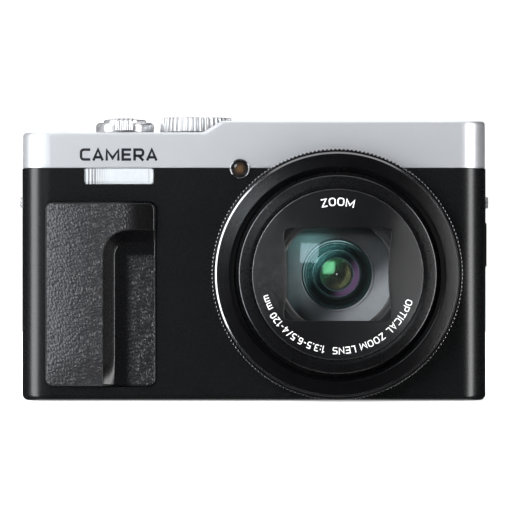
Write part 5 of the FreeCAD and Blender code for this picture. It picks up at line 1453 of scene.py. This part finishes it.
# ----------------------------------------
# Back: a moulded black dial that turns round the set key, and five round keys with slightly domed caps, each
# held from behind by its flange. Small signs and words are printed in white beside them.
# ----------------------------------------

key_black = satin_black("key_black", (0.006, 0.006, 0.007), (0.010, 0.010, 0.011), 0.30, 0.002 * MM)
REAR_INNER, REAR_FACE = (corner.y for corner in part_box("rear_dial"))
REAR_X, _, REAR_Z = middle_of("rear_dial")
REAR_RADIUS = radius_of("rear_dial")
REAR_BORE = 4.9 * MM
REAR_TEETH = 60
TOOTH_DEPTH = 0.22 * MM


def rear_teeth(angle, profile):
    """Fine rounded teeth round the dial's outer edge."""
    on_edge = smooth(profile[..., 0], REAR_RADIUS - 0.6 * MM, REAR_RADIUS - 0.2 * MM)
    return -TOOTH_DEPTH * (0.5 - 0.5 * np.cos(angle * REAR_TEETH)) * on_edge


rear_dial = turned(
    "rear_dial_moulded",
    [
        (REAR_BORE, REAR_INNER, 0),
        (REAR_RADIUS, REAR_INNER, 0),
        (REAR_RADIUS, REAR_FACE - 0.1 * MM, 0.25 * MM),
        (REAR_RADIUS - 1.0 * MM, REAR_FACE, 0.2 * MM),
        (REAR_RADIUS - 1.3 * MM, REAR_FACE - 0.22 * MM, 0.2 * MM),
        (REAR_BORE + 0.6 * MM, REAR_FACE - 0.30 * MM, 0.4 * MM),
        (REAR_BORE, REAR_FACE - 0.42 * MM, 0.15 * MM),
    ],
    REAR_TEETH * 8, (REAR_X, REAR_Z), "Y", rear_teeth,
)
rear_dial.data.materials.append(key_black)
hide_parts("rear_dial")
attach(rear_dial, "thumb_dial")

SET_CAP = 3.75 * MM
SMALL_CAP = 2.68 * MM
FLANGE_HEIGHT = 0.5 * MM
for node, body, cap in (
    ("set_button", "set_key", SET_CAP),
    ("menu_button", "menu_key", SMALL_CAP),
    ("play_button", "play_key", SMALL_CAP),
    ("display_button", "display_key", SMALL_CAP),
    ("delete_button", "delete_key", SMALL_CAP),
):
    low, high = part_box(node)
    middle_x, _, middle_z = middle_of(node)
    key = turned(
        node + "_moulded",
        [
            (0, low.y, 0),
            (radius_of(node), low.y, 0),
            (radius_of(node), low.y + FLANGE_HEIGHT, 0.05 * MM),
            (cap, low.y + FLANGE_HEIGHT, 0),
            (cap, high.y - 0.12 * MM, 0.2 * MM),
            (cap * 0.55, high.y, 1.0 * MM),
            (0, high.y, 0),
        ],
        72, (middle_x, middle_z), solid=True,
    )
    key.data.materials.append(key_black)
    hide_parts(node)
    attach(key, body)

MARK_SQUASH = 0.72


def print_mark(name, words, height, at, right, up, slot, body, material=white_print):
    """Prints a word or a number on a face, in strokes of a seventh of its height."""
    mesh = word_mesh(name, words, height, MARK_SQUASH, height / 7)
    print_mesh(name, mesh, at, right, up, body, material)


def print_shape(name, outlines, at, right, up, slot, body, material=white_print):
    """Prints a flat sign made of closed outlines, each one face, lifted by the paint's thickness."""
    work = bmesh.new()
    for outline in outlines:
        face = work.faces.new([work.verts.new((u, v, 0)) for u, v in outline])
        lifted = bmesh.ops.extrude_face_region(work, geom=[face])
        top = [item for item in lifted["geom"] if isinstance(item, bmesh.types.BMVert)]
        bmesh.ops.translate(work, vec=(0, 0, PAINT_LIFT), verts=top)
    mesh = bpy.data.meshes.new(name)
    work.to_mesh(mesh)
    work.free()
    print_mesh(name, mesh, at, right, up, body, material)


def bar(x0, z0, x1, z1):
    """A rectangle as an outline."""
    return [(x0 * MM, z0 * MM), (x1 * MM, z0 * MM), (x1 * MM, z1 * MM), (x0 * MM, z1 * MM)]


def above(node, gap):
    """The middle of a node's top edge, raised by a gap, on the rear cover's face."""
    return (middle_of(node)[0], back_plane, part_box(node)[1].z + gap)


BACKWARDS = (-1, 0, 0)
UPWARDS = (0, 0, 1)
ON_BACK = (BACKWARDS, UPWARDS, "black_body", "casing")
print_mark("menu_word", "MENU", 1.15 * MM, above("menu_button", 0.25 * MM), *ON_BACK)
print_mark("display_word", "DISP", 1.15 * MM, above("display_button", 0.25 * MM), *ON_BACK)
play_outline = [(-0.55 * MM, -0.6 * MM), (0.65 * MM, 0.0), (-0.55 * MM, 0.6 * MM)]
print_shape("play_sign", [play_outline], above("play_button", 0.75 * MM), *ON_BACK)
bin_outlines = [
    bar(-0.5, -0.6, -0.36, 0.45), bar(0.36, -0.6, 0.5, 0.45), bar(-0.5, -0.6, 0.5, -0.46),
    bar(-0.09, -0.4, 0.09, 0.3), bar(-0.7, 0.45, 0.7, 0.6), bar(-0.22, 0.6, 0.22, 0.75),
]
print_shape("delete_sign", bin_outlines, above("delete_button", 0.75 * MM), *ON_BACK)
set_x, _, set_z = middle_of("set_button")
set_at = (set_x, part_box("set_button")[1].y, set_z - 0.6 * MM)
print_mark("set_word", "SET", 1.2 * MM, set_at, BACKWARDS, UPWARDS, "black_body", "set_key")
ARROW_REACH = 6.9 * MM
ARROW_FACE = REAR_FACE - 0.27 * MM
arrow_outline = [(0.5 * MM, 0.0), (-0.3 * MM, 0.5 * MM), (-0.3 * MM, -0.5 * MM)]
for name, turn in (("dial_up", 90), ("dial_right", 0), ("dial_down", -90), ("dial_left", 180)):
    cosine, sine = math.cos(math.radians(turn)), math.sin(math.radians(turn))
    at = (REAR_X - ARROW_REACH * cosine, ARROW_FACE, REAR_Z + ARROW_REACH * sine)
    print_shape(name, [arrow_outline], at, (-cosine, 0, sine), (sine, 0, cosine), "black_body", "thumb_dial")


# ----------------------------------------
# Marks on the top: letters and numbers printed in dark paint round the face of the mode dial, a switch sign on
# the power button, and a red dot on the movie button.
# ----------------------------------------

FORWARDS = (0, -1, 0)
DIAL_MARKS = ("A", "P", "S", "M", "1", "2", "3", "4")
MARK_REACH = 4.6 * MM


def round_outline(radius, first=0.0, last=360.0, count=33):
    """Points on a circle from one angle to another, in degrees."""
    turn = np.linspace(math.radians(first), math.radians(last), count)
    return [(radius * math.cos(t), radius * math.sin(t)) for t in turn]


def on_top(node):
    """The middle of a node's upper face."""
    return (*middle_of(node)[:2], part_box(node)[1].z)


for place, words in enumerate(DIAL_MARKS):
    turn = math.radians(90 + 360 / len(DIAL_MARKS) * place)
    out = (math.cos(turn), -math.sin(turn), 0)
    at = (DIAL_X + out[0] * MARK_REACH, DIAL_Y + out[1] * MARK_REACH, DIAL_FACE)
    right = (out[1], -out[0], 0)
    print_mark("dial_mark_" + words, words, 1.7 * MM, at, right, out, "control_metal", "dial", dark_paint)

ring_sign = round_outline(1.1 * MM, 125, 415, 25) + round_outline(0.85 * MM, 415, 125, 25)
print_shape(
    "power_sign", [ring_sign, bar(-0.13, 0.2, 0.13, 1.2)], on_top("power_button"), BACKWARDS, FORWARDS,
    "control_metal", "power_key", dark_paint,
)
red_paint = paint("red_paint", (0.45, 0.02, 0.015), (0.60, 0.035, 0.025), 0.6 * MM, 0.35)
print_shape(
    "record_sign", [round_outline(0.9 * MM)[:-1]], on_top("record_button"), BACKWARDS, FORWARDS,
    "control_metal", "record_key", red_paint,
)


# ----------------------------------------
# Monitor glass: a flat toughened pane, glued into the monitor's frame. It is clear over the dark picture and
# printed black behind its border.
# ----------------------------------------

BORDER_X = 2.6 * MM
BORDER_Z = 2.4 * MM
BORDER_FADE = 0.1 * MM

glass_low, glass_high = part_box("monitor_glass")
glass_x, _, glass_z = middle_of("monitor_glass")
EDGE_X = (glass_high.x - glass_low.x) / 2 - BORDER_X
EDGE_Z = (glass_high.z - glass_low.z) / 2 - BORDER_Z
screen = Finish("screen_glass", Roughness=0.06, IOR=1.5)
at = screen.xyz()
off_x, off_z = abs(at[0] - glass_x), abs(at[2] - glass_z)
lit = off_x.step(EDGE_X, EDGE_X - BORDER_FADE) * off_z.step(EDGE_Z, EDGE_Z - BORDER_FADE)
picture = screen.blend(screen.noise(20 * MM), (0.012, 0.014, 0.018), (0.016, 0.019, 0.024))
screen.feed("Base Color", screen.blend(lit, (0.002, 0.002, 0.0022), picture))
dress("monitor_glass", screen.material)


# ----------------------------------------
# Fixings and what is inside: bright steel lugs, screws and sockets, a blackened steel hinge bracket, green
# circuit boards, a wrapped battery, a memory card and plastic mouldings, most of it hidden by the doors.
# ----------------------------------------


def mottled(name, dark, light, size, roughness, metallic, depth):
    """A plain finish whose tone and roughness follow noise of one size, which can lift the surface too."""
    finish = Finish(name, Metallic=metallic)
    spots = finish.noise(size, 3.0, 0.6)
    finish.feed("Base Color", finish.blend(spots, dark, light))
    finish.feed("Roughness", spots * 0.2 + (roughness - 0.1))
    if depth:
        finish.bump(spots, depth)
    return finish.material


for name, dark, light, size, roughness, metallic, depth, members in (
    ("steel", (0.74, 0.74, 0.75), (0.90, 0.90, 0.91), 0.4, 0.28, 0.6, 0.003,
     ("strap_lugs", "case_screws", "tripod_socket", "port_sockets", "hinge_pin", "zoom_motor")),
    ("black_steel", (0.010, 0.010, 0.011), (0.018, 0.018, 0.019), 0.5, 0.32, 0.0, 0.002, ("hinge_bracket",)),
    ("solder_mask", (0.008, 0.05, 0.025), (0.02, 0.11, 0.05), 1.5, 0.35, 0.0, 0.02,
     ("main_board", "top_board", "rear_board", "sensor_board")),
    ("sensor_glass", (0.02, 0.02, 0.03), (0.05, 0.04, 0.06), 3, 0.12, 0.0, 0.0, ("image_sensor",)),
    ("battery_wrap", (0.02, 0.02, 0.022), (0.035, 0.035, 0.038), 1, 0.45, 0.0, 0.0, ("battery",)),
    ("bay_plastic", (0.012, 0.012, 0.012), (0.02, 0.02, 0.02), 0.6, 0.5, 0.0, 0.0, ("battery_box",)),
    ("card_plastic", (0.01, 0.02, 0.08), (0.02, 0.035, 0.12), 1, 0.4, 0.0, 0.0, ("memory_card",)),
    ("latch_plastic", (0.55, 0.16, 0.03), (0.70, 0.22, 0.05), 0.6, 0.45, 0.0, 0.0, ("battery_latch",)),
    ("capacitor_sleeve", (0.01, 0.01, 0.012), (0.02, 0.02, 0.024), 1, 0.3, 0.0, 0.0, ("flash_capacitor",)),
):
    fixing_finish = mottled(name, dark, light, size * MM, roughness, metallic, depth * MM)
    for node in members:
        dress(node, fixing_finish)


# ----------------------------------------
# Studio: a pale paper floor that curves up into a backdrop, tall soft boxes at the sides, smaller ones
# above, behind and below, and soft fills that leave no highlights. The camera looks level at the middle of
# the front, from a little over a metre away.
# ----------------------------------------

VIEW_DISTANCE = 1.10
VIEW_WIDTH = 0.12208
VIEW_HEIGHT = 0.03525
SENSOR = 36.0
FLOOR_HALF = 3.0
FLOOR_BACK = 1.2
SWEEP_RADIUS = 0.8
FLOOR_CLEARANCE = 0.1 * MM
SWEEP_STEPS = 24
PAPER_GLOW = 0.62
AIR_STRENGTH = 0.05
WHITE = (1.0, 1.0, 1.0)


def floor_points():
    """Level out to the back, then a quarter circle up, then straight up; the same line along the whole
    width."""
    turn = np.linspace(0, math.pi / 2, SWEEP_STEPS)
    line = [(-FLOOR_HALF, 0.0), (0.0, 0.0), (FLOOR_BACK, 0.0)]
    line += [(FLOOR_BACK + SWEEP_RADIUS * math.sin(t), SWEEP_RADIUS * (1 - math.cos(t))) for t in turn[1:]]
    line += [(FLOOR_BACK + SWEEP_RADIUS, FLOOR_HALF)]
    line = np.array(line)
    across = np.array([-FLOOR_HALF, FLOOR_HALF])
    grid = np.zeros((2, len(line), 3))
    grid[..., 0] = across[:, None]
    grid[..., 1] = line[None, :, 0]
    grid[..., 2] = line[None, :, 1] - FLOOR_CLEARANCE
    return grid


floor = grid_mesh("floor", floor_points())
paper = Finish("pale_paper", Base_Color=(0.86, 0.86, 0.87), Roughness=0.9, Emission_Strength=PAPER_GLOW)
paper.shader.inputs["Specular IOR Level"].default_value = 0.0
paper.feed("Emission Color", paper.blend(paper.noise(0.4), WHITE, (0.97, 0.97, 0.98)))
# From below, the paper can be seen and lit through.
behind = paper.tree.nodes.new("ShaderNodeNewGeometry")
clear = paper.tree.nodes.new("ShaderNodeBsdfTransparent")
through = mix_shaders(paper.tree, behind.outputs["Backfacing"], clear.outputs[0], paper.shader.outputs[0])
paper.tree.links.new(through, paper.output.inputs["Surface"])
floor.data.materials.append(paper.material)
floor.visible_glossy = False
floor.visible_shadow = False


def soft_box(
    name, azimuth, elevation, distance, width, height, radiance, colour=WHITE, glossy=True, diffuse=True
):
    """An area light that faces the middle of the front. Its power is radiance times pi times its area."""
    data = bpy.data.lights.new(name, "AREA")
    data.shape = "RECTANGLE"
    data.size = width
    data.size_y = height
    data.energy = radiance * math.pi * width * height
    data.color = colour
    lamp = bpy.data.objects.new(name, data)
    turn, rise = math.radians(azimuth), math.radians(elevation)
    lamp.location = (
        distance * math.sin(turn) * math.cos(rise),
        -distance * math.cos(turn) * math.cos(rise),
        VIEW_HEIGHT + distance * math.sin(rise),
    )
    lamp.rotation_euler = (math.pi / 2 - rise, 0, turn)
    lamp.visible_glossy = glossy
    lamp.visible_diffuse = diffuse
    bpy.context.scene.collection.objects.link(lamp)


soft_box("left_box", -70, 8, 1.2, 0.62, 1.7, 7.6, (0.95, 0.98, 1.0), diffuse=False)
soft_box("right_box", 57, 2, 1.2, 0.38, 1.6, 9.6, diffuse=False)
soft_box("key_box", -22, 17, 1.2, 0.32, 0.33, 5.0, (0.88, 0.95, 1.0))
soft_box("top_box", 0, 84, 1.3, 1.6, 1.0, 0.9)
soft_box("front_fill", -36, 20, 0.9, 0.7, 0.7, 9.6, glossy=False)
soft_box("rear_box", 180, 58, 1.3, 1.3, 0.6, 2.6)
soft_box("base_box", 180, -62, 1.2, 1.0, 0.6, 2.4)
soft_box("rear_fill", 180, 20, 0.9, 0.7, 0.7, 9.0, glossy=False)

world = bpy.data.worlds.new("studio_air")
world.use_nodes = True
world_tree = world.node_tree
air = world_tree.nodes["Background"]
air.inputs["Color"].default_value = (0.30, 0.31, 0.33, 1.0)
air.inputs["Strength"].default_value = AIR_STRENGTH
# The camera itself sees white beyond the paper's edge.
backdrop = world_tree.nodes.new("ShaderNodeBackground")
backdrop.inputs["Color"].default_value = WHITE + (1.0,)
camera_ray = world_tree.nodes.new("ShaderNodeLightPath").outputs["Is Camera Ray"]
seen = mix_shaders(world_tree, camera_ray, air.outputs[0], backdrop.outputs[0])
world_tree.links.new(seen, world_tree.nodes["World Output"].inputs["Surface"])
bpy.context.scene.world = world

lens_data = bpy.data.cameras.new("view")
lens_data.sensor_width = SENSOR
lens_data.lens = SENSOR * VIEW_DISTANCE / VIEW_WIDTH
view = bpy.data.objects.new("view", lens_data)
view.location = (0.0, front_plane - VIEW_DISTANCE, VIEW_HEIGHT)
view.rotation_euler = (math.pi / 2, 0, 0)
bpy.context.scene.collection.objects.link(view)
bpy.context.scene.camera = view
bpy.context.scene.view_settings.view_transform = "Standard"
